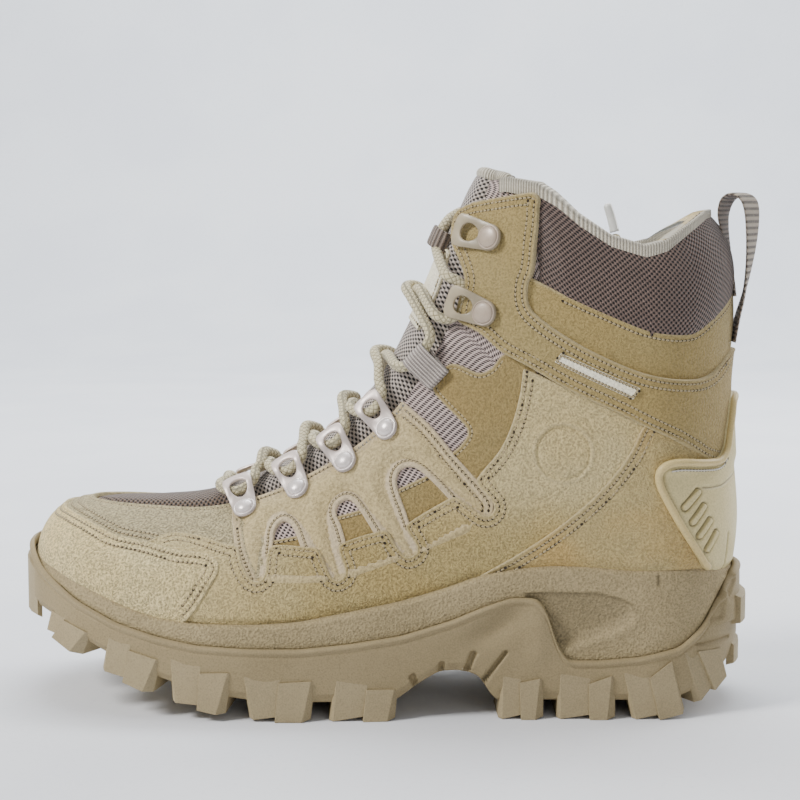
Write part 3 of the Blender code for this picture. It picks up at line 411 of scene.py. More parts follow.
def grid_mesh(name, grid, weave=None, bare_nap_and_painted_light=None, close_columns=False, numbers=None):
    """Open skin over a grid of points, its columns closed into rings where asked."""
    quads = grid_quads(*grid.shape[:2], close_columns=close_columns)
    return new_mesh(name, grid.reshape(-1, 3), quads, weave, bare_nap_and_painted_light, numbers)


def tube_mesh(name, grid, weave=None, numbers=None):
    """Closed tube from its rings of points, with a flat cap at each end."""
    rows, sides = grid.shape[:2]
    caps = np.array([np.arange(sides)[::-1], (rows - 1) * sides + np.arange(sides)])
    faces = [grid_quads(rows, sides, close_columns=True), caps]
    return new_mesh(name, grid.reshape(-1, 3), faces, weave, numbers=numbers)


def smooth_line(points, count):
    """Catmull-Rom curve through the points, read at count equal steps of its parameter."""
    p = np.array(points, float)
    p = np.concatenate([[2 * p[0] - p[1]], p, [2 * p[-1] - p[-2]]])
    place = np.linspace(0, len(p) - 3, count)
    k = np.minimum(place.astype(int), len(p) - 4)
    f = (place - k)[:, None]
    a, b, c, d = p[k], p[k + 1], p[k + 2], p[k + 3]
    return 0.5 * (2 * b + (c - a) * f + (2 * a - 5 * b + 4 * c - d) * f**2
                  + (3 * b - a - 3 * c + d) * f**3)


def grid_lengths(grid, axis, scale=1.0):
    """Length from the first row (axis 0) or column (axis 1) of a grid to each of its points."""
    steps = np.linalg.norm(np.diff(grid, axis=axis) * scale, axis=2)
    return np.cumsum(np.insert(steps, 0, 0, axis=axis), axis=axis)


def circle(count, radius):
    """Flat points round a circle."""
    turn = round_turn(count)
    return np.stack([np.cos(turn), np.sin(turn)], 1) * radius


def along_line(line):
    """Length along a line of points at each of them."""
    return np.concatenate([[0], np.cumsum(np.linalg.norm(np.diff(line, axis=0), axis=1))])


def even_line(line, step):
    """The line read again at equal steps of its length."""
    length = along_line(line)
    count = max(int(round(length[-1] / step)), 2) + 1
    at = np.linspace(0, length[-1], count)
    return np.stack([np.interp(at, length, line[:, k]) for k in range(line.shape[1])], 1)


def carried_frame(line):
    """Two crosswise directions along a line, turned as little as possible: each is the one
    before it, made square to the new tangent."""
    tangent = unit(np.gradient(line, axis=0))
    across = np.zeros_like(tangent)
    start = np.cross(tangent[0], [0.3, 0.1, 1.0])
    for k, t in enumerate(tangent):
        start = start - t * np.dot(start, t)
        start = start / np.linalg.norm(start)
        across[k] = start
    return across, np.cross(tangent, across)


def ringed(line, radius, sides):
    """Rings of even points round a line, at a radius for each ring or each point."""
    a, b = carried_frame(line)
    turn = round_turn(sides)[None, :, None]
    return line[:, None] + radius * (np.cos(turn) * a[:, None] + np.sin(turn) * b[:, None])


def round_end(line, reach, least=0.03):
    """Share of a tube's radius left at each place: 1, closing to a dome at both ends."""
    length = along_line(line)
    ends = np.clip(np.minimum(length, length[-1] - length) / reach, least, 1)
    return np.sqrt(1 - (1 - ends)**2)


BRAID_LONG, BRAID_SIDES = 2.3, 10      # length of one braid repeat and strands round the cord


def cord_mesh(name, line, radius, step=0.42, sides=16, braid=0.07):
    """Braided cord: a tube round the line whose radius rises on two families of strands,
    r = radius (1 + braid (|sin(u + v)|, |sin(u - v)| in turn)), with rounded ends."""
    line = even_line(line, step)
    u = along_line(line)[:, None] * np.pi / BRAID_LONG
    v = round_turn(sides)[None] * BRAID_SIDES / 4
    over = np.sin(2 * u) * np.sin(2 * v)
    strands = np.where(over > 0, np.abs(np.sin(u + v)), np.abs(np.sin(u - v)))
    r = radius * (1 - braid / 2 + braid * strands) * round_end(line, 0.6 * radius)[:, None]
    weave = np.stack([u / np.pi + 0 * v, v / np.pi + 0 * u], -1)
    return tube_mesh(name, ringed(line, r[..., None], sides), weave)


# ---- flat patterns ------------------------------------------------------------------------------
def pattern(corners, step=0.8, soften=0.6):
    """Closed outline through corners (first, second), or (first, second, 1) for a sharp one: a
    Hermite curve on each edge, whose end directions join the two neighbours of a smooth corner,
    read at equal steps and rounded over about soften. Also each point's corner number."""
    place = np.array([c[:2] for c in corners], float)
    sharp = np.array([len(c) > 2 for c in corners])[:, None]
    ahead = np.roll(place, -1, 0)
    edge = ahead - place
    size = np.linalg.norm(edge, axis=1, keepdims=True)
    through = unit(ahead - np.roll(place, 1, 0))
    leave = np.where(sharp, edge, through * size)[:, None]
    arrive = np.where(np.roll(sharp, -1, 0), edge, np.roll(through, -1, 0) * size)[:, None]
    f = np.linspace(0, 1, 24, endpoint=False)[None, :, None]
    curve = hermite(f, place[:, None], leave, ahead[:, None], arrive)
    number = (np.arange(len(corners))[:, None] + f[0, :, 0][None]).ravel()
    line = np.concatenate([curve.reshape(-1, 2), place[:1]])
    number = np.append(number, len(corners))
    length = along_line(line)
    count = int(length[-1] / step)
    at = np.linspace(0, length[-1], count, endpoint=False)
    points = np.stack([np.interp(at, length, line[:, k]) for k in (0, 1)], 1)
    wave = np.exp(-2 * (np.pi * np.fft.rfftfreq(count, step) * soften)**2)
    points = np.fft.irfft(np.fft.rfft(points, axis=0) * wave[:, None], count, axis=0)
    return points, np.interp(at, length, number)


def turning(line):
    """+1 where a closed flat line runs anticlockwise, -1 where it runs clockwise."""
    ahead = np.roll(line, -1, 0)
    return np.sign(np.sum(line[:, 0] * ahead[:, 1] - ahead[:, 0] * line[:, 1]))


def inset(line, place, distance):
    """The closed flat line moved inwards by a true distance over the chart's surface: the step
    is solved from the chart's two directions by least squares."""
    e = 0.35
    right = (place(line + [e, 0]) - place(line - [e, 0])) / (2 * e)
    up = (place(line + [0, e]) - place(line - [0, e])) / (2 * e)
    flat = np.roll(line, -1, 0) - np.roll(line, 1, 0)
    tangent = unit(flat[:, :1] * right + flat[:, 1:] * up)
    inward = np.cross(unit(np.cross(right, up)), tangent) * turning(line)
    a, b, c = (np.sum(p * q, axis=1) for p, q in ((right, right), (right, up), (up, up)))
    p, q = np.sum(right * inward, axis=1), np.sum(up * inward, axis=1)
    determinant = a * c - b * b
    step = np.stack([(c * p - b * q) / determinant, (a * q - b * p) / determinant], 1)
    return line + step * distance


def is_inside(flat, line):
    """Whether each flat point is inside the closed line, by the crossings of a level ray."""
    x, y = flat[:, :1], flat[:, 1:]
    x1, y1 = line[:, 0][None], line[:, 1][None]
    x2, y2 = np.roll(line[:, 0], -1)[None], np.roll(line[:, 1], -1)[None]
    rise = np.where(y2 == y1, 1e-12, y2 - y1)
    crosses = ((y1 > y) != (y2 > y)) & (x < (x2 - x1) * (y - y1) / rise + x1)
    return crosses.sum(1) % 2 == 1


def distance_to(points, line):
    """Distance from each point to the nearest point of a line, in batches."""
    found = [np.sqrt(((part[:, None] - line[None])**2).sum(-1).min(1))
             for part in np.array_split(points, max(len(points) * len(line) // 2_000_000, 1))]
    return np.concatenate(found)


EDGE_RINGS = (0.04, 0.3, 0.75, 1.3, 1.8, 2.4, 3.1, 3.7, 4.3, 4.8, 5.4, 6.0)
COVERS = []               # search trees of the sewn pieces' outsides, which the stitches lie on


def beside(path, offsets, step=0.7, closed=False):
    """Flat points along a path and beside it, where a relief needs a closer mesh."""
    path = np.array(path, float)
    line = even_line(np.concatenate([path, path[:1]]) if closed else path, step)
    along = unit(np.gradient(line, axis=0))
    across = np.stack([-along[:, 1], along[:, 0]], 1)
    return np.concatenate([line + across * k for k in offsets])


def around(pair, reach, step=0.35):
    """Flat points at a distance from a short segment, all the way round it."""
    first, last = np.array(pair, float)
    along = unit(last - first)
    across = np.array([-along[1], along[0]])
    turn = np.linspace(0, np.pi, 13)[:, None]
    bow = np.cos(turn) * across + np.sin(turn) * along
    ring = np.concatenate([last + reach * bow, first - reach * bow, last + reach * bow[:1]])
    return even_line(ring, step)


def cut_piece(name, line, place, relief, spacing=1.7, under=-0.5, finish=None,
              stands_for=("upper",), rings=EDGE_RINGS, holes=(), closer=None):
    """Piece cut to a flat outline and laid on the upper. Its points are the outlines, rings inside
    them, a hexagonal lattice and any closer points, joined by a Delaunay triangulation, and each
    is lifted off the surface by relief(flat, distance to the edge); cut edges turn down to under."""
    loops = [line, *holes]
    outline = np.concatenate([place(loop) for loop in loops])

    def in_piece(flat):
        return is_inside(flat, line) & ~sum([is_inside(flat, hole) for hole in holes],
                                            np.zeros(len(flat), bool))

    inner = []
    for loop in loops:
        for distance in rings:
            ring = inset(loop, place, distance if loop is line else -distance)
            ring = ring[in_piece(ring)]
            ring = ring[distance_to(place(ring), outline) > 0.93 * distance]
            inner.append(ring[::2] if distance > 1 else ring)
    low, high = line.min(0), line.max(0)
    rows, columns = np.arange(low[1], high[1], spacing * 0.87), np.arange(low[0], high[0], spacing)
    lattice = np.stack(np.meshgrid(columns, rows), -1)
    lattice[1::2, :, 0] += spacing / 2
    lattice = lattice.reshape(-1, 2)
    if closer is not None:
        lattice = lattice[distance_to(lattice, closer) > spacing * 0.5]
        closer = closer[in_piece(closer)]
        inner.append(closer[distance_to(place(closer), outline) > rings[-1] + 0.4])
    lattice = lattice[in_piece(lattice)]
    lattice = lattice[distance_to(place(lattice), outline) > rings[-1] + spacing * 0.5]
    flat = np.concatenate([*loops, *inner, lattice])
    edges, first = [], 0
    for loop in loops:
        count = len(loop)
        edges += [(first + k, first + (k + 1) % count) for k in range(count)]
        first += count
    found = delaunay_2d_cdt([Vector(p) for p in flat], edges, [], 1, 1e-4, False)
    flat, faces = np.array([v[:] for v in found[0]]), np.array(found[2])
    faces = faces[in_piece(flat[faces].mean(1))]
    distance = distance_to(place(flat), outline)
    lift, bare_nap_and_painted_light = relief(flat, distance)
    points = place(flat, lift)
    # The cut edge: each edge on the rim gets a quad down to the surface below it.
    corners = np.concatenate([faces[:, [0, 1]], faces[:, [1, 2]], faces[:, [2, 0]]])
    keys = {tuple(e) for e in corners.tolist()}
    rim = np.array([e for e in keys if (e[1], e[0]) not in keys])
    rim = rim[np.lexsort(rim.T)]
    foot = np.unique(rim)
    lower = np.full(len(flat), -1)
    lower[foot] = len(flat) + np.arange(len(foot))
    below = place(flat[foot], np.full(len(foot), float(under)))
    skirt = np.stack([rim[:, 1], rim[:, 0], lower[rim[:, 0]], lower[rim[:, 1]]], 1)
    tri = points[faces[:200]]
    facing = np.cross(tri[:, 1] - tri[:, 0], tri[:, 2] - tri[:, 0])
    out = place(flat[faces[:200, 0]], lift[faces[:200, 0]] + 1.0) - points[faces[:200, 0]]
    if np.sum(facing * out) < 0:
        faces, skirt = faces[:, ::-1], skirt[:, ::-1]
    mesh = new_mesh(name, np.concatenate([points, below]), [faces, skirt],
                    bare_nap_and_painted_light=np.concatenate([bare_nap_and_painted_light, bare_nap_and_painted_light[foot]]))
    COVERS.append(BVHTree.FromPolygons([tuple(p) for p in points.tolist()], faces.tolist()))
    return add_piece(name, mesh, finish, stands_for)


def leather(height, rows=(), roll=0.0, edge=0.35):
    """Relief of a leather piece: a rounded cut edge up to its height, raised again by roll beside
    the edge, with a dip along each row of stitches. Also how bare the edge is."""
    def relief(flat, d):
        up = np.sqrt(np.clip(1 - (1 - np.clip(d / edge, 0, 1))**2, 0, 1))
        lift = height * (0.25 + 0.75 * up) + roll * bell(d - 0.75, 0.5)
        for row in rows:
            lift = lift - 0.32 * bell(d - row, 0.45)
        return lift, bell(d, 0.7) * (0.8 if roll else 0.4)
    return relief


# ---- stitches -----------------------------------------------------------------------------------
THREAD_WIDE, THREAD_HIGH = 0.40, 0.28
HOLE_LONG, HOLE_WIDE, HOLE_CORNERS = 0.74, 0.60, 7
STITCH_SEARCH = 0.5       # how far above and below its planned place a stitch finds its leather


def capsule(sides=6):
    """Small closed thread: rings of (place along, radius) and a flat cap at each end."""
    rings = np.array([(-0.5, 0.35), (-0.36, 0.9), (0.0, 1.0), (0.36, 0.9), (0.5, 0.35)])
    turn = round_turn(sides)
    grid = np.stack([np.repeat(rings[:, :1], sides, 1), rings[:, 1:] * np.cos(turn),
                     rings[:, 1:] * np.sin(turn)], -1).reshape(-1, 3)
    caps = np.array([np.arange(sides)[::-1], len(rings) * sides - sides + np.arange(sides)])
    return grid, grid_quads(len(rings), sides, close_columns=True), caps


# Rows of stitches as (points, directions, normals, stitch lengths, pitches): on the leather and
# in a pale thread on the counter.
THREAD_RUNS, PALE_RUNS = [], []


def stitch(line, place, lift, pitch=2.7, length=1.45, runs=THREAD_RUNS):
    """Adds a row of stitches along an open flat line on a chart, a pitch apart."""
    points = place(line, np.full(len(line), lift))
    raised = place(line, np.full(len(line), lift + 1.0))
    both = even_line(np.concatenate([points, raised], 1), pitch)
    points, raised = both[:, :3], both[:, 3:]
    runs.append((points, unit(np.gradient(points, axis=0)), unit(raised - points),
                 np.full(len(points), length), np.full(len(points), pitch)))


def stitch_along(line, number, start, end, place, lift, distance, **more):
    """Row of stitches inside an outline, between two of its corners."""
    if start > end:
        at = np.argmin(np.where(number >= start, number, 1e9))
        line, number = np.roll(line, -at, 0), np.roll(number, -at)
        chosen = (number >= start) | (number <= end)
    else:
        chosen = (number >= start) & (number <= end)
    ring = inset(line, place, distance)
    far = distance_to(place(ring), place(line)) > 0.9 * distance
    stitch(ring[chosen & far], place, lift, **more)


def on_covers(points, normal):
    """The points moved along their normals onto the sewn piece that is nearest to them."""
    found = points.copy()
    for k, (point, n) in enumerate(zip(points, normal)):
        start = point + n * STITCH_SEARCH
        hits = [tree.ray_cast(Vector(start), Vector(-n), 2 * STITCH_SEARCH) for tree in COVERS]
        reach = [hit[3] for hit in hits if hit[0] is not None]
        if reach:
            found[k] = start - n * min(reach)
    return found


def sew_all(name, runs, finishes, stands_for):
    """All stitches as one mesh: a thread over each needle step and, at its ends, a dark disc
    of painted shade for the needle hole.
    """
    points, along, normal, length, pitch = (np.concatenate(a) for a in zip(*runs))
    at = on_covers(points + along * (pitch / 2)[:, None], normal)
    points = on_covers(points, normal) + 0.04 * normal
    across = unit(np.cross(normal, along))
    body, quads, caps = capsule()
    size = [length, THREAD_WIDE + 0 * length, THREAD_HIGH + 0 * length]
    sized = body[None] * np.stack(size, 1)[:, None]
    threads = (points[:, None] + sized[..., :1] * along[:, None] + sized[..., 1:2] * across[:, None]
               + sized[..., 2:] * normal[:, None])
    count = len(points)
    start = np.arange(count)[:, None, None] * len(body)
    # Dark discs at the needle holes: painted shade.
    turn = round_turn(HOLE_CORNERS)[None, :, None]
    discs = (at[:, None] + HOLE_LONG * np.cos(turn) * along[:, None]
             + HOLE_WIDE * np.sin(turn) * across[:, None] + 0.07 * normal[:, None])
    sides = count * len(body) + np.arange(count * HOLE_CORNERS).reshape(count, HOLE_CORNERS)
    faces = [(quads[None] + start).reshape(-1, 4), (caps[None] + start).reshape(-1, 6), sides]
    numbers = np.concatenate([np.zeros(count * (len(quads) + 2)), np.ones(count)])
    mesh = new_mesh(name, np.concatenate([threads.reshape(-1, 3), discs.reshape(-1, 3)]), faces,
                    numbers=numbers)
    return add_piece(name, mesh, finishes, stands_for)


def make_tube(name, line, radius, finish, stands_for, sides=14):
    """Plain round tube along a line, closed with rounded ends."""
    line = even_line(line, 0.8)
    grid = ringed(line, radius * round_end(line, radius, 0.04)[:, None, None], sides)
    weave = np.stack(np.broadcast_arrays(along_line(line)[:, None], round_turn(sides)), -1)
    return add_piece(name, tube_mesh(name, grid, weave), finish, stands_for)


# ---- finishes -----------------------------------------------------------------------------------
class Finish:
    """A Principled material whose nodes are added by short calls. Colours are linear."""

    def __init__(self, name, roughness, metallic=0.0, **sockets):
        self.material = bpy.data.materials.new(name)
        self.material.use_nodes = True
        self.nodes, self.links = self.material.node_tree.nodes, self.material.node_tree.links
        self.shader = self.nodes["Principled BSDF"]
        self.shader.inputs["Roughness"].default_value = roughness
        self.shader.inputs["Metallic"].default_value = metallic
        for key, value in sockets.items():
            self.shader.inputs[key.replace("_", " ")].default_value = value
        self.place = self.nodes.new("ShaderNodeTexCoord").outputs["Object"]
        self.height = None

    def set(self, socket, value):
        """Links a node's output to the socket, or sets its constant."""
        if isinstance(value, bpy.types.NodeSocket):
            self.links.new(value, socket)
        elif isinstance(value, tuple) and len(value) == 3 and len(socket.default_value) == 4:
            socket.default_value = (*value, 1.0)
        else:
            socket.default_value = value

    def noise(self, size, detail=2.0, roughness=0.5):
        """Noise from about 0.25 to 0.75 whose lumps measure size millimetres."""
        made = self.nodes.new("ShaderNodeTexNoise")
        self.links.new(self.place, made.inputs["Vector"])
        made.inputs["Scale"].default_value = 1000.0 / size
        made.inputs["Detail"].default_value = detail
        made.inputs["Roughness"].default_value = roughness
        return made.outputs["Fac"]

    def cells(self, size):
        """Distance from the middle of rounded cells that measure size millimetres."""
        made = self.nodes.new("ShaderNodeTexVoronoi")
        self.links.new(self.place, made.inputs["Vector"])
        made.inputs["Scale"].default_value = 1000.0 / size
        return made.outputs["Distance"]

    def maths(self, operation, first, second=0.0):
        """One step of arithmetic."""
        made = self.nodes.new("ShaderNodeMath")
        made.operation = operation
        for socket, value in zip(made.inputs, (first, second)):
            self.set(socket, value)
        return made.outputs[0]

    def between(self, value, low, high, new_low=0.0, new_high=1.0):
        """Smooth step from new_low to new_high as the value goes from low to high."""
        made = self.nodes.new("ShaderNodeMapRange")
        made.interpolation_type = "SMOOTHSTEP"
        for socket, number in zip(made.inputs, (value, low, high, new_low, new_high)):
            self.set(socket, number)
        return made.outputs[0]

    def mix(self, share, first, second, blend="MIX"):
        """Colour that goes from first to second by the share."""
        made = self.nodes.new("ShaderNodeMix")
        made.data_type = "RGBA"
        made.blend_type = blend
        for key, value in (("Factor", share), ("A", first), ("B", second)):
            self.set([s for s in made.inputs if s.name == key and s.enabled][0], value)
        return [s for s in made.outputs if s.enabled][0]

    def attribute(self, name):
        """Value that the mesh keeps at each point."""
        made = self.nodes.new("ShaderNodeAttribute")
        made.attribute_name = name
        return made.outputs["Fac"]

    def weave(self):
        """The two directions of the cloth, in millimetres, and nought."""
        made = self.nodes.new("ShaderNodeUVMap")
        made.uv_map = "weave"
        return self.split(made.outputs["UV"])

    def split(self, vector):
        """The three parts of a place."""
        made = self.nodes.new("ShaderNodeSeparateXYZ")
        self.links.new(vector, made.inputs[0])
        return made.outputs["X"], made.outputs["Y"], made.outputs["Z"]

    def colour(self, value):
        """Sets the base colour."""
        self.set(self.shader.inputs["Base Color"], value)

    def rough(self, value):
        """Sets the roughness."""
        self.set(self.shader.inputs["Roughness"], value)

    def bump(self, height, depth, strength=1.0):
        """Adds bumps of a depth in millimetres on top of the ones before them."""
        made = self.nodes.new("ShaderNodeBump")
        made.inputs["Strength"].default_value = strength
        made.inputs["Distance"].default_value = depth * MM
        self.links.new(height, made.inputs["Height"])
        if self.height is not None:
            self.links.new(self.height, made.inputs["Normal"])
        self.height = made.outputs["Normal"]
        self.links.new(self.height, self.shader.inputs["Normal"])


def suede(name, tone, shade=0.74, light=1.22, drift=(1.02, 0.98, 0.90), edge=(0.56, 0.47, 0.28),
          grain_size=0.9, depth=1.2, flank=None):
    """Napped leather: a tone with a pebbled grain about a millimetre wide, broad drifts of
    colour, paler bare edges and a fine uneven nap. flank is a darker, warmer tone low down on
    the boot's middle: painted shade, with a warmer hue."""
    made = Finish(name, 0.88, Sheen_Weight=0.12, Sheen_Roughness=0.6, Specular_IOR_Level=0.28)
    tone = np.array(tone)
    grain = made.noise(grain_size, 2.0, 0.65)
    lumps = made.noise(2.6, 1.5)
    broad = made.noise(38.0, 2.0)
    colour = tuple(tone)
    # Painted shade, with a warmer hue, low down on the boot's middle; the front and the upper part
    # keep the plain tone.
    if flank is not None:
        x, _, z = made.split(made.place)
        low = made.maths("MULTIPLY", made.between(x, -0.07, -0.01), made.between(z, 0.095, 0.068))
        colour = made.mix(low, colour, flank)
    colour = made.mix(made.between(broad, 0.35, 0.65), colour, drift, "MULTIPLY")
    colour = made.mix(made.between(grain, 0.50, 0.39), colour, (shade,) * 3, "MULTIPLY")
    colour = made.mix(made.between(grain, 0.51, 0.62), colour, (light,) * 3, "MULTIPLY")
    colour = made.mix(made.maths("MULTIPLY", made.attribute("bare_nap_and_painted_light"), 0.7), colour, edge)
    made.colour(colour)
    made.rough(made.between(grain, 0.3, 0.7, 0.95, 0.78))
    made.bump(lumps, 0.16, 0.8)
    made.bump(grain, depth, 1.0)
    return made.material


def mesh_cloth(name, thread, hole, pitch=1.95, row=1.1, low=None):
    """Knitted mesh: staggered holes where sin(u) sin(v) is high, between raised threads. low is
    the thread's tone over the toes."""
    made = Finish(name, 0.85, Sheen_Weight=0.2, Specular_IOR_Level=0.3)
    u, v, _ = made.weave()
    u = made.maths("MULTIPLY", u, np.pi / (pitch / 2))
    v = made.maths("MULTIPLY", v, np.pi / row)
    wave = made.maths("MULTIPLY", made.maths("SINE", u), made.maths("SINE", v))
    open_share = made.between(wave, 0.02, 0.34)
    glint = made.between(wave, -0.15, -0.85)
    colour = made.mix(glint, thread, tuple(min(1.0, 1.45 * c) for c in thread))
    colour = made.mix(made.between(made.noise(14.0), 0.3, 0.7, 0.0, 0.35), colour,
                      tuple(0.75 * c for c in thread))
    if low is not None:
        colour = made.mix(made.between(made.split(made.place)[0], -0.045, -0.07), colour, low)
    made.colour(made.mix(open_share, colour, hole))
    made.bump(made.maths("MULTIPLY", wave, -1.0), 0.42, 1.0)
    return made.material


def rubber(name, tone, cell=0.9, depth=0.16, roughness=0.62, drift=0.86, shade=0.80,
           light=1.16, hollow_shade=0.5):
    """Moulded rubber: fine leather-like grain, slight drifts of tone and dust in the grain, and
    painted shade in the hollows marked on its mesh."""
    made = Finish(name, roughness, Specular_IOR_Level=0.35)
    tone = np.array(tone)
    grain = made.cells(cell)
    broad, fine = made.noise(30.0, 3.0), made.noise(max(0.7, cell), 1.5)
    colour = made.mix(made.between(broad, 0.35, 0.65), tuple(tone), tuple(tone * drift))
    colour = made.mix(made.between(grain, 0.25, 0.75, 0.0, 0.5), colour, tuple(tone * light))
    colour = made.mix(made.between(fine, 0.50, 0.68, 0.0, 0.7), colour, tuple(tone * shade))
    # Painted shade: darker where the mesh marks its hollows.
    made.colour(made.mix(made.attribute("bare_nap_and_painted_light"), colour, (hollow_shade,) * 3, "MULTIPLY"))
    made.rough(made.between(broad, 0.3, 0.7, roughness - 0.07, roughness + 0.1))
    made.bump(grain, depth, 0.9)
    made.bump(fine, depth * 0.5, 0.6)
    return made.material


def ribbed(name, thread, groove, ribs=1.0, along=0, depth=0.3, sheen=0.2):
    """Woven webbing or binding: ribs a given number of millimetres apart across the weave."""
    made = Finish(name, 0.8, Sheen_Weight=sheen, Specular_IOR_Level=0.3)
    axis = made.weave()[along]
    other = made.weave()[1 - along]
    wave = made.maths("SINE", made.maths("MULTIPLY", axis, 2 * np.pi / ribs))
    cross = made.maths("SINE", made.maths("MULTIPLY", other, 2 * np.pi / 0.75))
    height = made.maths("ADD", wave, made.maths("MULTIPLY", cross, 0.3))
    colour = made.mix(made.between(wave, -0.75, 0.35), groove, thread)
    colour = made.mix(made.between(made.noise(1.6), 0.4, 0.75, 0.0, 0.4), colour,
                      tuple(0.7 * c for c in thread))
    made.colour(colour)
    made.bump(height, depth, 1.0)
    return made.material


def braided(name, thread, groove):
    """Cord: the two families of strands of its surface, with dark gaps and fine fibres."""
    made = Finish(name, 0.75, Sheen_Weight=0.3, Specular_IOR_Level=0.3)
    u, v, _ = made.weave()
    one = made.maths("SINE", made.maths("MULTIPLY", made.maths("ADD", u, v), np.pi))
    two = made.maths("SINE", made.maths("MULTIPLY", made.maths("SUBTRACT", u, v), np.pi))
    gap = made.maths("MINIMUM", made.maths("ABSOLUTE", one), made.maths("ABSOLUTE", two))
    colour = made.mix(made.between(gap, 0.05, 0.45), groove, thread)
    colour = made.mix(made.between(made.noise(1.3), 0.45, 0.7, 0.0, 0.55), colour,
                      tuple(0.62 * c for c in thread))
    made.colour(colour)
    made.bump(gap, 0.2, 1.0)
    return made.material


# Painted highlight on the plates: their raised tips are made brighter.
TIP_SHINE = 1.4           # how much brighter a plate's tip is than its root


def coated_metal(name, tone, metallic=0.35, roughness=0.34):
    """Pale coated metal with faint cloudy wear, and a painted highlight that makes it brighter
    towards the plate's tip.
    """
    made = Finish(name, roughness, metallic, Coat_Weight=0.25, Coat_Roughness=0.25)
    tone = np.array(tone)
    cloud = made.noise(5.0, 3.0)
    colour = made.mix(made.between(cloud, 0.35, 0.7), tuple(tone), tuple(tone * 0.86))
    # Painted highlight: brighter where the mesh marks the plate's raised tip.
    made.colour(made.mix(made.attribute("bare_nap_and_painted_light"), colour, (TIP_SHINE,) * 3, "MULTIPLY"))
    made.rough(made.between(cloud, 0.3, 0.7, roughness - 0.06, roughness + 0.12))
    made.bump(made.noise(0.5, 2.0), 0.015, 0.5)
    return made.material


TAN = suede("tan_suede", (0.66, 0.54, 0.275), shade=0.62, light=1.34, depth=2.0)
EYESTAY_SUEDE = suede("eyestay_suede", (0.46, 0.366, 0.188), shade=0.80, light=1.17,
                      drift=(1.0, 0.98, 0.93), edge=(0.62, 0.51, 0.40), grain_size=1.2, depth=0.9)
VAMP_SUEDE = suede("vamp_suede", (0.38, 0.318, 0.18), shade=0.60, light=1.38,
                   drift=(1.0, 1.0, 0.97), depth=1.6)
STRAP_SUEDE = suede("strap_suede", (0.312, 0.237, 0.094), shade=0.80, light=1.16, depth=0.9)
PANEL_SUEDE = suede("panel_suede", (0.262, 0.193, 0.074), shade=0.80, light=1.16, depth=0.9)
# Its flank tone is painted shade, with a warmer hue, low down on the boot's middle.
QUARTER = suede("quarter_leather", (0.50, 0.405, 0.202), shade=0.72, light=1.24, depth=1.4,
                flank=(0.375, 0.288, 0.118))
REAR_SUEDE = suede("rear_suede", (0.395, 0.308, 0.138), shade=0.78, light=1.18,
                   drift=(1.08, 0.95, 0.76))
MESH = mesh_cloth("knitted_mesh", (0.54, 0.43, 0.40), (0.020, 0.013, 0.012))
COLLAR_MESH = mesh_cloth("collar_mesh", (0.150, 0.102, 0.084), (0.010, 0.006, 0.005))
TONGUE_MESH = mesh_cloth("tongue_mesh", (0.46, 0.40, 0.36), (0.02, 0.017, 0.017),
                         low=(0.17, 0.12, 0.09))
LINING = ribbed("grey_lining", (0.93, 0.93, 0.91), (0.76, 0.76, 0.75), 0.95, 0, 0.12, 0.3)
BINDING = ribbed("ribbed_binding", (0.62, 0.57, 0.46), (0.33, 0.29, 0.22), 1.15, 0, 0.25)
# The foam and the counter darken the hollows marked on their meshes: painted shade.
FOAM = rubber("midsole_foam", (0.305, 0.24, 0.128), 0.95, depth=0.4, roughness=0.72, shade=0.66,
              light=1.36, hollow_shade=0.55)
# One rubber in two tones: the wall's darker tone is painted shade, the lugs' lighter one painted
# light on their proud faces.
SOLE_RUBBER = rubber("outsole_rubber", (0.272, 0.212, 0.112), 0.7, 0.09, 0.62)
LUG_RUBBER = rubber("lug_rubber", (0.312, 0.25, 0.142), 0.7, 0.10, 0.62)
COUNTER = rubber("counter_moulding", (0.565, 0.475, 0.235), 0.8, 0.10, 0.5, hollow_shade=0.3)
PIPING = rubber("counter_piping", (0.555, 0.43, 0.19), 0.5, 0.03, 0.40, 0.9)
METAL = coated_metal("coated_plate", (0.47, 0.40, 0.365), 0.25, 0.42)
RIVET = coated_metal("rivet_dome", (0.72, 0.65, 0.62), 0.25, 0.26)
HOOK_COAT = coated_metal("hook_coating", (0.27, 0.222, 0.145), 0.05, 0.50)
HOOK_RIVET = coated_metal("hook_rivet", (0.40, 0.315, 0.24), 0.1, 0.45)
WEBBING = ribbed("grey_webbing", (0.42, 0.35, 0.27), (0.10, 0.08, 0.06), 2.6, 0, 0.5)
DARK_WEBBING = ribbed("dark_webbing", (0.26, 0.20, 0.16), (0.09, 0.07, 0.055), 2.0, 0, 0.35)
LOOP_WEBBING = ribbed("loop_webbing", (0.64, 0.56, 0.50), (0.26, 0.21, 0.19), 1.35, 1, 0.4)
LACE = braided("lace_braid", (0.60, 0.53, 0.34), (0.17, 0.135, 0.07))
THREAD = braided("sewing_thread", (0.52, 0.43, 0.25), (0.38, 0.30, 0.16))
PALE_THREAD = braided("pale_thread", (0.85, 0.82, 0.72), (0.55, 0.52, 0.45))
# Near black: painted shade in the needle holes.
NEEDLE_HOLE = coated_metal("needle_hole", (0.030, 0.020, 0.010), 0.0, 0.95)
TIP = coated_metal("lace_tip", (0.80, 0.80, 0.76), 0.0, 0.2)
INSOLE_CLOTH = rubber("insole_cloth", (0.26, 0.25, 0.235), 1.0, depth=0.2, roughness=0.9,
                      drift=0.9, shade=0.6, light=1.3)
PATCH_SUEDE = suede("patch_suede", (0.94, 0.89, 0.72), 0.88, 1.08)


# ---- view, floor and light ----------------------------------------------------------------------
VIEW_PLACE, VIEW_TURN, VIEW_LENS = (0.0528, -0.7782, 0.2040), (84.106, 0.0, 3.5), 83.7


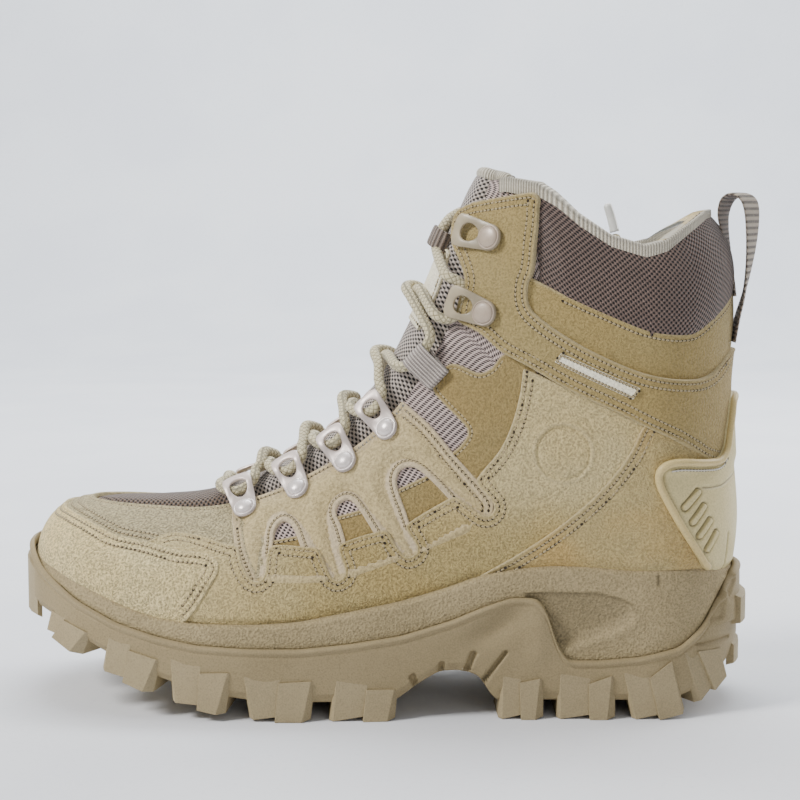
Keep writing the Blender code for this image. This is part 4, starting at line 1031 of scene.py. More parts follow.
def set_view():
    """Camera level with the boot's ankle, on its outer side."""
    lens = bpy.data.cameras.new("view")
    lens.sensor_width, lens.lens = 36.0, VIEW_LENS
    made = bpy.data.objects.new("view", lens)
    made.location = VIEW_PLACE
    made.rotation_euler = np.radians(VIEW_TURN)
    bpy.context.scene.collection.objects.link(made)
    bpy.context.scene.camera = made


FLOOR_HALF_WIDE, FLOOR_NEAR = 9000.0, -12000.0
BEND_START, BEND_ROUND, BACKDROP_TOP = 1600.0, 700.0, 2600.0


def set_floor():
    """Level pale floor that curves up into a backdrop behind the boot, one sheet along a line."""
    turn = np.linspace(0, np.pi / 2, 12)[1:]
    y = np.concatenate([[FLOOR_NEAR, BEND_START], BEND_START + BEND_ROUND * np.sin(turn),
                        [BEND_START + BEND_ROUND]])
    z = np.concatenate([[0.0, 0.0], BEND_ROUND - BEND_ROUND * np.cos(turn), [BACKDROP_TOP]])
    x = np.array([-FLOOR_HALF_WIDE, FLOOR_HALF_WIDE])
    grid = np.stack(np.broadcast_arrays(x[:, None], y[None], z[None]), -1)
    finish = Finish("floor", 0.85, Specular_IOR_Level=0.2)
    cloud, grit = finish.noise(160.0, 4.0), finish.noise(3.5, 3.0)
    tone = finish.mix(finish.between(cloud, 0.35, 0.65), (0.72, 0.73, 0.76), (0.68, 0.69, 0.73))
    finish.colour(finish.mix(finish.between(grit, 0.55, 0.75, 0.0, 0.4), tone, (0.62, 0.63, 0.67)))
    finish.bump(grit, 0.12, 0.5)
    mesh = grid_mesh("floor", grid)
    mesh.materials.append(finish.material)
    made = bpy.data.objects.new("floor", mesh)
    bpy.context.scene.collection.objects.link(made)


BOOT = (0.0, 0.0, 0.1)
LAMPS = [                 # name, place, aim, size, watts and colour
    ("window", (-1.35, -0.70, 1.35), BOOT, 0.5, 47.0, (1.0, 0.985, 0.955)),
    ("sky", (0.1, 0.5, 2.0), BOOT, 1.6, 22.0, (0.95, 0.98, 1.0)),
    ("rear", (1.1, 0.7, 0.8), BOOT, 0.8, 15.0, (1.0, 0.98, 0.95)),
    ("front", (0.9, -1.9, 0.6), BOOT, 1.2, 8.0, (1.0, 0.98, 0.95)),
    ("backdrop", (0.0, 1.0, 1.9), (0.0, 2.3, 0.5), 1.6, 74.0, (0.90, 0.96, 1.0)),
]


def set_lights():
    """Area lamps aimed at the boot and the backdrop, and a dim even light from all round."""
    for name, place, target, size, watts, colour in LAMPS:
        lamp = bpy.data.lights.new(name, "AREA")
        lamp.size, lamp.energy, lamp.color = size, watts, colour
        made = bpy.data.objects.new(name, lamp)
        made.location = place
        aim = Vector(target) - made.location
        made.rotation_euler = aim.to_track_quat("-Z", "Y").to_euler()
        bpy.context.scene.collection.objects.link(made)
    world = bpy.data.worlds.new("room")
    world.use_nodes = True
    room = world.node_tree.nodes["Background"].inputs
    room["Color"].default_value = (0.93, 0.96, 1.0, 1.0)
    room["Strength"].default_value = 0.32
    bpy.context.scene.world = world


set_view()
set_floor()
set_lights()


# ---- the lace's free end ------------------------------------------------------------------------
CORD_RADIUS = 2.2
LACE_END_ROUTE = [(54.5, 21.0, 194.0), (56.0, 22.3, 186.0), (59.0, 23.8, 177.0),
                  (64.0, 25.0, 169.0), (70.5, 25.8, 163.0), (77.5, 26.2, 160.5),
                  (85.0, 26.3, 162.0), (91.5, 26.5, 167.0), (95.2, 26.7, 174.5),
                  (96.5, 26.9, 183.5), (95.8, 26.9, 193.0)]
TIP_LINE = [(95.7, 26.9, 193.8), (94.2, 27.0, 199.5), (92.2, 27.1, 206.0)]
# The tip's radius along it: a shrunk clear tube with a rolled rim, over the crimped cord.
TIP_PROFILE = [0, 0.5, 1.2, 11.5, 12.3, 12.6], [2.05, 2.15, 1.95, 1.85, 1.6, 0.9]


def make_lace_end():
    """The lace's loose end over the inner side of the collar, and the tube on its tip."""
    line = smooth_line(LACE_END_ROUTE, 90)
    cord = add_piece("lace_free_end", cord_mesh("lace_free_end", line, CORD_RADIUS), LACE,
                     ["lace_end"])
    tip_line = smooth_line(TIP_LINE, 14)
    radius = np.interp(along_line(tip_line), *TIP_PROFILE)
    mesh = tube_mesh("lace_tip_tube", ringed(tip_line, radius[:, None, None], 14))
    tip = add_piece("lace_tip_tube", mesh, TIP, ["lace_tip"])
    route = (even_line(line, 2.0) + SHIFT) * MM
    float(along_line(route)[-1])


make_lace_end()


# ---- the upper's cloth and lining ---------------------------------------------------------------
def collar_row(t, side):
    """s of the collar's edge on this t."""
    def below(s):
        point = upper_point(s, t, side)
        return point[..., 2] < np.interp(point[..., 0], *COLLAR.T)
    t = np.asarray(t, float)
    return bisect(below, np.full(t.shape, float(HEEL_ROW + 2)), np.full(t.shape, float(LAST_ROW)))


def wall_thickness(s, t):
    """Padded towards the collar and thin beside the throat."""
    thin = np.minimum(spline("wall", s), 2.8)
    return thin + (spline("wall", s) - thin) * smooth_share((0.88 - t) / 0.2)


PLAIN_ROWS = 14.2         # the shell's rows up to this one lie along the sections


def shell_grid(side, rows=120, columns=36):
    """(s, t) from the toe to the collar's edge and from the feather line to the throat: columns
    closer together at both ends, and rows that close up under the collar's edge."""
    plan = np.concatenate([np.linspace(0.05, 4.0, rows // 5), np.linspace(4.03, 4.6, 12),
                           np.linspace(4.75, LAST_ROW, rows)])
    across = 0.5 - 0.5 * np.cos(np.pi * np.linspace(0, 1, columns))
    s = np.repeat(plan[:, None], columns, 1)
    for _ in range(3):
        edge = np.where(spline("gap", s) > 0.3, throat_edge(s, side), 0.9995)
        t = across * edge
        stretch = np.clip((plan[:, None] - PLAIN_ROWS) / (LAST_ROW - PLAIN_ROWS), 0, 1)
        s = plan[:, None] + stretch * (collar_row(t[-1], side)[None] - LAST_ROW)
    return s, t


def make_shell():
    """The upper's knitted cloth outside and its lining inside, for each side of the boot, joined
    along the throat and the collar's edge."""
    for side, end in SIDES:
        s, t = shell_grid(side)
        outer = upper_point(s, t, side)
        normal = upper_normal(s, np.clip(t, 2e-3, 0.998), side)
        outside = outer - 0.35 * normal
        inside = outer - np.maximum(wall_thickness(s, t), 1.0)[..., None] * normal
        inside[..., 1] = np.where((t < 1e-9) & (s >= HEEL_ROW), 0.0, inside[..., 1])
        rows, columns = s.shape
        # The cloth is stretched across the boot where it turns to the front.
        weave = np.stack(np.broadcast_arrays(grid_lengths(outside, 0)[:, columns * 4 // 5, None],
                                             grid_lengths(outside, 1, [1, 0.35, 1])), -1)
        edge = np.concatenate([np.arange(columns) + (rows - 1) * columns,
                               (np.arange(rows)[::-1] + 1) * columns - 1])
        lined_cloth(f"shell_{end}", outside, inside, weave, edge, [MESH, LINING, EYESTAY_SUEDE], 2,
                    ["upper"], turned=side > 0)


make_shell()


# ---- sewn pieces --------------------------------------------------------------------------------
def mirrored(half):
    """Toe pattern from its outer half: (s, t) rows become flat corners on both sides."""
    outer = [(-TOE_WIDE * (1 - row[1])**0.5, TOE_LONG * row[0], *row[2:]) for row in half]
    return outer + [(-a, b, *rest) for a, b, *rest in outer[::-1] if a]


TOE_CAP = [(5.7, 0.01, 1), (6.15, 0.18), (6.66, 0.40), (6.86, 0.49), (6.89, 0.56), (6.71, 0.61),
           (6.28, 0.63), (5.75, 0.68), (4.96, 0.74), (3.79, 0.95), (3.6, 1.0)]
TOE_CAP_FOOT = [(59.5, 16.0, 1), (-59.5, 16.0, 1)]
VAMP_FRONT = [(-46.0, 155.0, 1), (-45.0, 100.0), (-30.0, 66.0), (0.0, 58.0), (30.0, 66.0),
              (45.0, 100.0), (46.0, 155.0, 1)]
THROAT_END = 4.42         # the row at which the vamp's opening ends over the toes


def make_toe():
    """Toe cap with two rows of stitches, and the vamp round the throat's front end."""
    line, number = pattern(mirrored(TOE_CAP) + TOE_CAP_FOOT)
    last = 2 * len(TOE_CAP) - 2
    cut_piece("toe_cap", line, toe_chart, leather(2.2, (2.6, 5.4), 0.25), finish=TAN)
    for distance in (2.6, 5.4):
        stitch_along(line, number, 0.5, last - 0.5, toe_chart, 1.98, distance)
    for distance in (-2.0, -4.6):
        stitch_along(line, number, 4.2, last - 4.2, toe_chart, 1.12, distance)
    s = np.linspace(4.6, 7.75, 13)
    out, into = ([(side * TOE_WIDE * np.sqrt(1 - t), TOE_LONG * row)
                  for t, row in zip(throat_edge(s, side), s)] for side, _ in SIDES)
    out[-1], into[-1] = (*out[-1], 1), (*into[-1], 1)
    line, number = pattern(into[::-1] + [(0.0, TOE_LONG * THROAT_END)] + out + VAMP_FRONT)
    cut_piece("vamp", line, toe_chart, leather(1.1, (1.9,), 0.2), finish=VAMP_SUEDE)
    stitch_along(line, number, 0.5, 2 * len(s) - 0.5, toe_chart, 1.0, 1.9)


QUARTER_EDGE = [
    (-100, 65.0, 1), (-92, 69.2), (-85, 70.6), (-74.9, 69.7), (-62.8, 67.2), (-58.6, 66.6),
    (-55.9, 60.5), (-52.7, 55.7), (-49.8, 54.3), (-47.1, 56.2), (-46, 65.1), (-43.5, 67.6),
    (-29, 67.4), (-25.7, 67), (-23.1, 62.9), (-19.7, 56.3), (-17.2, 55.2), (-14.5, 57.5),
    (-17.2, 66.2), (-16.6, 68.9), (1.0, 74.7), (3.2, 73.8), (5.9, 69), (10, 64.7), (12.4, 64.7),
    (14.4, 67.5), (10.0, 75), (10.2, 77.2), (28.6, 88.4), (30.4, 88.4), (35.6, 85.2),
    (41.2, 81.3), (44.4, 82.2), (45.2, 85.4), (38.6, 93.4), (38.4, 95.8), (47.5, 107.4),
    (52.2, 117.5), (55.4, 129.5), (56.9, 140.3, 1),
    (75, 133, 1), (103, 119, 1), (112, 113, 1), (108, 108), (93, 88), (77, 74), (61, 62),
    (45, 52), (38, 46, 1), (8, 39.5), (-20, 35), (-48, 34), (-74, 35.5), (-100, 38, 1)]
QUARTER_LAST = 39         # the last corner of its edge that shows
EYESTAY_REAR = [(19.1, 116.5), (29.4, 105), (44.4, 88.2), (45.2, 82.6, 1),
                (40, 70, 1), (11, 58), (-18, 49), (-50, 48, 1), (-58.7, 64), (-61.8, 74)]
# Windows in the eyestay, whose feet lie under the quarter, the crease pressed round each, and
# the suede behind its lower half.
WINDOWS = [
    [(-44.2, 62, 1), (-43.9, 68.1), (-43.4, 73.6), (-40.3, 76.7), (-36.4, 74.6), (-32.6, 67.3),
     (-30.2, 62, 1)],
    [(-13, 66, 1), (-16.2, 75.6), (-18.6, 82.0), (-14.5, 86), (-10.3, 83.5), (-3.9, 74.7),
     (-0.5, 69, 1)],
    [(12.5, 74.5, 1), (10.2, 81.1), (5.9, 93.2), (7.3, 98.2), (11.9, 99.7), (16.9, 97.1),
     (26.3, 88.3), (29.5, 84, 1)]]
WINDOW_CREASES = [
    [(-49.5, 55.8), (-48.6, 66.9), (-46.3, 77.1), (-40.6, 79.9), (-34.5, 77.6), (-28.2, 70.4),
     (-18.1, 56.3)],
    [(-16.5, 57.1), (-20.9, 70.5), (-22.2, 81.1), (-19.1, 86.9), (-14.2, 89.4), (-9.1, 87),
     (-1.5, 78.6), (9.6, 66.2)],
    [(12.8, 65.9), (7.4, 76.9), (2.3, 88.5), (1.4, 95.1), (4.5, 100.6), (9.8, 102.8),
     (16.8, 100.3), (29.5, 90.3), (41.2, 81.3)]]
WINDOW_FILLERS = [
    [(-47.5, 68.9, 1), (-32.0, 72.2, 1), (-27, 60, 1), (-47.5, 58, 1)],
    [(-21.5, 78.6, 1), (-6.5, 83.0, 1), (2.5, 70, 1), (-14, 62, 1)],
    [(3.5, 89.5, 1), (19.5, 97.2, 1), (31, 84, 1), (12.5, 72, 1)]]
REAR_CREASE = np.array([(22.0, 106.0), (33.0, 93.5), (41.5, 84.5)])
ANKLE = [(48.5, 145.3), (44.1, 140), (39.2, 137.8), (31.9, 140.4), (27.8, 141.1),
         (23.3, 137.7), (20.1, 131.2), (25.1, 124.7), (31.3, 118.9), (34.6, 114.3),
         (32.2, 109.4), (27.8, 105.4, 1), (33, 98, 1), (42, 95), (52, 106), (58, 118), (61, 130),
         (62, 142, 1), (56, 148, 1)]
REAR_QUARTER = [(30, 50, 1), (37.8, 55.9), (55.8, 66.6), (71.7, 77.7), (87.5, 92),
                (98.4, 106.2), (103.1, 116.2), (106, 121, 1), (118, 113), (131, 104, 1),
                (133, 60, 1), (133, 50, 1), (90, 49), (50, 48.5)]
BADGE, BADGE_RING, BADGE_GROOVE = np.array([73.0, 106.7]), 11.8, 10.4
EYESTAY_HEIGHT = 1.3
RIVET_OUTLINE = 6.1       # radius of the line pressed round each plate's rivet


def frame_on_upper(s, y, side, lift=0.3):
    """Origin, direction to the ridge, direction along the boot and normal, on the upper."""
    t = across_at(s, y, side)
    n = upper_normal(s, t, side)
    u = upper_point(s, t + 0.01, side) - upper_point(s, t - 0.01, side)
    u = unit(u - n * np.dot(u, n))
    return upper_point(s, t, side) + n * lift, u, np.cross(n, u), n


def placed(frame, u, v, n):
    """Points at (u, v, n) in a frame of an origin and three directions."""
    origin, along, across, normal = frame
    u, v, n = (np.asarray(a, float)[..., None] for a in (u, v, n))
    return origin + u * along + v * across + n * normal


PLATE_COLUMNS = ("length", "half_wide", "hole_at", "hole_u", "hole_v", "rivet", "thick")
RING_PLATE = (17.5, 6.4, 10.6, 4.1, 3.7, 3.9, 1.3)
HOOK_PLATE = (17.5, 6.8, 9.7, 4.1, 3.6, 4.3, 1.5)
RING_ROWS, RING_Y = (7.63, 8.65, 9.63, 10.58), 22.0
HOOKS = [(13.6, 26.5, 22.0), (15.6, 23.0, 18.0)]      # row, half width, turn towards the toe
PLATE_MIDDLE = 5.5        # from the rivet to the place where the plate touches the upper
RING_RISE, HOOK_RISE = 1.8, 3.4


def plate_frame(s, y, side, turn=0.0, rise=RING_RISE):
    """Frame of a plate that lies flat at a row and half width, with its origin at its rivet."""
    origin, along, across, normal = frame_on_upper(s, y, side, rise)
    angle = -side * np.radians(turn)
    along, across = (np.cos(angle) * along + np.sin(angle) * across,
                     np.cos(angle) * across - np.sin(angle) * along)
    return origin - PLATE_MIDDLE * along, along, across, normal


def eyestay_relief(creases, windows, rivets):
    """Flat bands 4 mm wide along the edges and round the windows, a crease along each band, and
    smooth padded leather between them."""
    fences = [np.concatenate([crease, crease[:1]]) for crease in creases]

    def relief(flat, d):
        lift, bare_nap_and_painted_light = leather(EYESTAY_HEIGHT, (), 0.15)(flat, d)
        near = np.min([distance_to(flat, even_line(c, 0.5)) for c in (*creases, REAR_CREASE)], 0)
        banded = sum([is_inside(flat, fence) for fence in fences], np.zeros(len(flat), bool))
        window = np.min([distance_to(flat, w) for w in windows], 0)
        padded = smooth_share((near - 0.5) / 4.5) * smooth_share((d - 4.3) / 4.0) * ~banded
        lift = lift + 1.3 * padded - 0.7 * bell(near, 0.55) * (d > 1)
        lift = lift - 0.4 * bell(d - 4.1, 0.45) * (window > 6)
        r = distance_to(flat, rivets)
        lift = lift - 0.55 * bell(r - RIVET_OUTLINE, 0.5) * (d > 1)
        return lift, np.maximum(bare_nap_and_painted_light, 0.55 * banded + 0.3 * (d < 4.0) * (window > 6))
    return relief


# Height of the midsole's rim along the boot.
MIDSOLE_RIM = np.array([(-152, 62), (-140, 59), (-132, 57), (-122, 52), (-106, 45), (-90, 40),
                        (-73, 38), (-49, 38), (-33, 39), (-12, 43), (8, 47), (28, 53), (38, 57),
                        (52, 60), (68, 61.5), (84, 61), (100, 59.5), (113, 60), (125, 60),
                        (134, 57.5), (145, 56.5)])


def tucked(relief, depth=1.0, along=None):
    """The relief pressed in where its piece goes down inside the sole's rim."""
    def pressed(flat, d):
        lift, bare_nap_and_painted_light = relief(flat, d)
        rim = np.interp(flat[:, 0] if along is None else along(flat), *MIDSOLE_RIM.T)
        return lift - depth * smooth_share((rim + 3.0 - flat[:, 1]) / 4.0), bare_nap_and_painted_light
    return pressed


def quarter_relief(flat, d):
    """Leather with a plain round badge: a raised ring with a pressed one inside it."""
    lift, bare_nap_and_painted_light = leather(1.8, (1.9, 4.5), 0.3)(flat, d)
    r = np.linalg.norm(flat - BADGE, axis=1)
    lift = lift + 0.45 * bell(r - BADGE_RING, 0.7) - 0.5 * bell(r - BADGE_GROOVE, 0.5)
    return lift, np.maximum(bare_nap_and_painted_light, 0.35 * bell(r - BADGE_RING, 0.6))


def make_eyestay(place, side, end):
    """Eyestay with its three windows, the suede behind their lower halves and their stitches."""
    s = np.linspace(7.42, 11.1, 16)
    throat = [tuple(p) for p in upper_point(s, throat_edge(s, side), side)[:, [0, 2]]]
    throat[0], throat[-1] = (*throat[0], 1), (*throat[-1], 1)
    line, number = pattern(throat + EYESTAY_REAR)
    windows = [pattern(window, 0.6, 0.4) for window in WINDOWS]
    creases = [smooth_line(c, 60) for c in WINDOW_CREASES]
    rivets = np.array([plate_frame(row, RING_Y, side)[0][[0, 2]] for row in RING_ROWS])
    closer = np.concatenate([beside(c, (-1.0, -0.5, 0.0, 0.5, 1.0)) for c in creases]
                            + [beside(REAR_CREASE, (-0.6, 0.0, 0.6))]
                            + [rivet + circle(60, RIVET_OUTLINE * k) for rivet in rivets
                               for k in (0.92, 1, 1.08)])
    cut_piece(f"eyestay_{end}", line, place,
              eyestay_relief(creases, [w for w, _ in windows], rivets), 1.5, finish=EYESTAY_SUEDE,
              holes=[w for w, _ in windows], closer=closer,
              rings=(0.04, 0.3, 0.75, 1.3, 1.9, 2.6, 3.3, 3.8, 4.2, 4.7))
    n, seat = len(throat), EYESTAY_HEIGHT - 0.05
    for start, end_corner, distance in ((0.2, n - 1.2, 2.1), (n - 0.8, n + 2.8, 2.1),
                                        (n - 0.8, n + 2.8, 4.9), (n + 7.2, n + 8.8, 2.1)):
        stitch_along(line, number, start, end_corner, place, seat, distance)
    for window, corner in windows:
        stitch_along(window, corner, 0.2, corner.max() - 1.2, place, seat, -2.3, pitch=2.3)
    for number, filler in enumerate(WINDOW_FILLERS, 1):
        line, corner = pattern(filler)
        cut_piece(f"window_backing_{end}_{number}", line, place, leather(0.55, (), 0.15), 1.7,
                  finish=PANEL_SUEDE)
        stitch_along(line, corner, 0.15, 0.85, place, 0.5, 1.6)


def make_sides():
    """Ankle panel, eyestay, quarter and rear quarter of both sides, each over the one before."""
    for side, end in SIDES:
        place = side_chart(side)
        line, number = pattern(ANKLE)
        cut_piece(f"ankle_panel_{end}", line, place, leather(0.9, (1.9,), 0.25), finish=PANEL_SUEDE)
        stitch_along(line, number, 0.3, 10.7, place, 0.8, 1.9)
        make_eyestay(place, side, end)
        line, number = pattern(QUARTER_EDGE)
        closer = beside(BADGE + circle(120, BADGE_GROOVE),
                        (-2.4, -1.9, -1.4, -0.9, -0.45, 0.0, 0.5, 1.0), closed=True)
        cut_piece(f"quarter_{end}", line, place, tucked(quarter_relief), finish=QUARTER,
                  closer=closer)
        for distance in (1.9, 4.5):
            stitch_along(line, number, 1.2, QUARTER_LAST - 0.2, place, 1.6, distance)
        line, number = pattern(REAR_QUARTER)
        cut_piece(f"rear_quarter_{end}", line, place, tucked(leather(2.6, (2.2, 4.8), 0.3)),
                  finish=REAR_SUEDE)
        for distance in (2.2, 4.8):
            stitch_along(line, number, 0.3, 6.8, place, 2.4, distance)


make_toe()
make_sides()


# ---- the strap, the collar band and the padded collar -------------------------------------------
def on_shaft(corners, side):
    """Side corners (x, z) as the shaft chart's (arc, height), for one side of the boot."""
    x, z = np.array([c[:2] for c in corners], float).T
    arc = arc_at(x, z, side)
    return [(a, b, *c[2:]) for a, b, c in zip(arc, z, corners)]


def round_back(front, low, high):
    """Band round the heel from its outer half: its front end, then its lower edge back to the
    heel, and its upper edge forward again, with both mirrored for the inner half."""
    front, low, high = (on_shaft(part, -1) for part in (front, low, high))
    inner = [[(-a, b, *c) for a, b, *c in part[::-1]] for part in (low, front, high)]
    return front + low + inner[0] + inner[1] + inner[2] + high


STRAP_FRONT = [(63.4, 207.5), (61.5, 210.0), (58.0, 210.0), (38.0, 205.8, 1), (32.5, 202.5),
               (30.2, 199), (29.2, 194.2), (29.3, 188.5), (31.9, 182.9), (34.3, 173.8),
               (31.9, 166.8), (30.9, 160.5), (31.8, 157.6), (35.8, 155.7), (41.1, 152.7),
               (48.4, 146.5)]
STRAP_LOW = [(59.3, 140.8), (75.2, 131.9), (95.1, 122.5), (107, 116.2), (116, 111.5),
             (123.6, 106.6), (128.9, 102.8), (135.5, 100.5)]
STRAP_HIGH = [(139.6, 145.8), (131.3, 137.9), (123.4, 135.8), (106.8, 138), (86.9, 146),
              (71.2, 154.9), (61.3, 162.5), (58.9, 167.0), (58.9, 173.5), (60.6, 178.2),
             (62.1, 191.3), (63.2, 203.2)]
STRAP_CREASE = [(133.5, 138.5), (137.0, 142.0), (139.5, 147.0)]
PATCH = [(71.9, 147, 1), (102.9, 132.9, 1), (99.8, 128.1, 1), (69.2, 143, 1)]
BAND_FRONT = [(58.5, 177, 1), (57, 160, 1)]
BAND_LOW = [(72, 148, 1), (87, 140), (107, 132), (123, 130), (135, 134)]
BAND_HIGH = [(141.2, 170.8), (132.4, 161), (123, 154.6), (106.7, 155.9), (86.8, 163.8),
             (70.9, 170.8)]


def outer_half(flat):
    """Places on the shaft chart with those of the inner side turned over to the outer one."""
    return np.stack([-np.abs(flat[:, 0]), flat[:, 1]], 1)


def strap_relief(flat, d):
    """Leather with a soft crease on each side of the heel, where the strap bends."""
    lift, bare_nap_and_painted_light = leather(3.2, (2.0, 4.6), 0.3)(flat, d)
    crease = even_line(np.array(on_shaft(STRAP_CREASE, -1)), 0.5)
    return lift - 0.9 * bell(distance_to(outer_half(flat), crease), 1.1), bare_nap_and_painted_light


def make_shaft_bands():
    """Collar band and ankle strap round the heel, with rows of stitches and blank patches."""
    line, number = pattern(round_back(BAND_FRONT, BAND_LOW, BAND_HIGH))
    cut_piece("collar_band", line, shaft_chart, leather(1.5, (2.8,), 0.2), finish=STRAP_SUEDE)
    turn = len(BAND_FRONT) * 2 + len(BAND_LOW) * 2
    stitch_along(line, number, turn + 0.3, turn + 2 * len(BAND_HIGH) - 1.2, shaft_chart, 1.4, 2.8)
    line, number = pattern(round_back(STRAP_FRONT, STRAP_LOW, STRAP_HIGH))
    cut_piece("ankle_strap", line, shaft_chart, strap_relief, finish=STRAP_SUEDE)
    low_end = 2 * (len(STRAP_FRONT) + len(STRAP_LOW))
    for distance in (2.0, 4.6):
        stitch_along(line, number, 0.5, low_end - 1.5, shaft_chart, 3.0, distance)
        stitch_along(line, number, low_end - 0.5, low_end + 2 * len(STRAP_HIGH) - 0.6,
                     shaft_chart, 3.0, distance)
    for side, end in SIDES:
        line, number = pattern(on_shaft(PATCH, side), 0.6, 0.3)
        cut_piece(f"blank_patch_{end}", line, shaft_chart, leather(3.75, (), 0.1, 0.3), 1.7, 3.0,
                  PATCH_SUEDE, rings=(0.04, 0.3, 0.75, 1.2))
        stitch_along(line, number, 0.0, 4.0, shaft_chart, 3.7, 0.9, pitch=2.0, length=1.3)


PAD_Z_LOW = np.array([(58, 176.0), (71, 168.5), (87, 161.5), (107, 153.5), (123, 152.3),
                      (132.4, 158.5), (141, 168.0)])
PAD_SPAN = 98.0           # arc length of the pad's front ends from the back line
RIM_ROUND = 2.5           # height of the collar's rounded rim
BINDING_HIGH, BINDING_OUT = 3.05, 0.55    # height of the binding's arch, and its reach past the wall
BINDING_SQUARE = 0.4      # power that squares the arch: smaller is squarer
BINDING_INNER = 0.72      # the arch's inner line as a share of its outer one
PAD_ROWS, OVER_ROWS, INNER_ROWS = 30, 10, 17


def collar_heights(p, line, start):
    """Height of a line of (x, z) at each arc length, found where its own x is."""
    z = np.full(p.shape, start)
    for _ in range(12):
        z = np.interp(shaft_bare(p, z)[:, 0], *line.T)
    return z


def shaft_wall(p, z):
    """Bare surface of the shaft, its outward direction and its wall's thickness."""
    flat = np.stack(np.broadcast_arrays(p, z), -1)
    surface = shaft_chart(flat, 0 * z)
    s, t = side_coordinates(surface[..., 0], surface[..., 2])
    wall = np.maximum(wall_thickness(s, np.clip(t, 0, 1)), 3.0)
    return surface, unit(shaft_chart(flat, 1 + 0 * z) - surface), wall


def make_collar_pad():
    """Padded collar: a closed roll round the shaft. Each slice runs up the outside with a bulge,
    over a rounded top and down the inside, its outside along the shaft chart."""
    p = PAD_SPAN * np.linspace(-1, 1, 241)
    top = collar_heights(p, COLLAR, start=190.0)
    low = collar_heights(p, PAD_Z_LOW, start=160.0)
    share = np.linspace(0, 1, PAD_ROWS)[:, None]
    height = low + (top - RIM_ROUND - low) * share
    ends = np.clip((PAD_SPAN - np.abs(p)) / 10, 0, 1)
    bulge = 0.4 + 2.6 * ends * np.sin(np.pi * np.clip(share * 0.9 + 0.1, 0, 1))**0.8
    outside = shaft_chart(np.stack(np.broadcast_arrays(p, height), -1), bulge)
    _, normal, wall = shaft_wall(p, height[-1])
    half = ((wall + bulge[-1]) / 2)[:, None]
    turn = np.linspace(0, np.pi, OVER_ROWS + 1)[1:, None, None]
    over = (outside[-1] - normal * half + np.cos(turn) * normal * half
            + np.sin(turn) * np.array([0, 0, 1.0]) * 2.0)
    bare, outward, _ = shaft_wall(p, top - RIM_ROUND
                                  - np.linspace(0, 26, INNER_ROWS + 1)[1:, None])
    soft = 0.8 * np.sin(np.linspace(0, np.pi, INNER_ROWS))[:, None]
    grid = np.concatenate([outside, over, bare - outward * (wall + soft)[..., None]])
    weave = np.stack(np.broadcast_arrays(p, grid_lengths(grid, 0)), -1)
    cloth_rows, quads_across = PAD_ROWS + 3, len(p) - 1
    numbers = np.repeat([0, 1], [cloth_rows * quads_across,
                                 (len(grid) - 1 - cloth_rows) * quads_across])
    made = add_piece("collar_pad", grid_mesh("collar_pad", grid, weave, numbers=numbers),
                     [COLLAR_MESH, LINING], ["upper"])


# ---- tongue -------------------------------------------------------------------------------------
TONGUE_START, TONGUE_END = 4.2, 18.6      # rows
TONGUE_THICK, TONGUE_ROUND = 4.0, 0.7     # thickness, and the rows over which its top is rounded
TONGUE_PATCH = [(-13.5, 122, 1), (-13.5, 134), (-12.5, 143, 1), (12.5, 143, 1), (13.5, 134),
                (13.5, 122, 1)]


def tongue_point(s, y, lift=0.0):
    """Point on the tongue's outer face: under the upper's edges, and level with them between."""
    s, y = np.broadcast_arrays(np.asarray(s, float), np.asarray(y, float))
    side = np.where(y < 0, -1, 1)
    t = np.where(side < 0, across_at(s, np.abs(y), -1), across_at(s, np.abs(y), 1))
    sink = 3.6 * smooth_share((np.abs(y) - spline("gap", s) + 8) / 7)
    return (upper_point(s, t, side) + upper_normal(s, t, side) * (lift - sink - 0.2)[..., None])


def make_tongue():
    """Padded tongue: a closed pad whose outer face crowns between its sides and whose top end is
    rounded; columns close up at both sides where it turns under."""
    s = np.concatenate([np.linspace(TONGUE_START, TONGUE_END - TONGUE_ROUND, 190),
                        np.linspace(17.95, TONGUE_END, 14)])
    c = np.sin(np.pi / 2 * np.linspace(-1, 1, 61))
    half = (spline("gap", s) + 7.0)[:, None]
    top = np.clip((TONGUE_END - s) / TONGUE_ROUND, 0, 1)[:, None]
    rounded = np.sqrt(np.clip(1 - (1 - top)**2, 0, 1))
    y = c * half * (0.86 + 0.14 * rounded)
    thick = TONGUE_THICK * np.clip(1 - np.abs(c)**6, 0.05, 1) * (0.15 + 0.85 * rounded)
    s_grid = s[:, None] + 0 * y
    outside = tongue_point(s_grid, y, np.minimum(thick - TONGUE_THICK, 0.0))
    inside = tongue_point(s_grid, y, np.full(y.shape, -TONGUE_THICK))
    across = len(c)
    length = grid_lengths(outside, 0)[:, across // 2, None]
    # Its edge in order: bottom, right side, top, left side.
    first, last = np.arange(across), (len(s) - 1) * across
    edge = np.concatenate([first, np.arange(1, len(s)) * across + across - 1,
                           last + first[:-1][::-1], np.arange(1, len(s) - 1)[::-1] * across])
    made = lined_cloth("tongue_pad", outside, inside, np.stack(np.broadcast_arrays(length, y), -1),
                       edge, [TONGUE_MESH, LINING], 0, ["tongue"], closed=True)


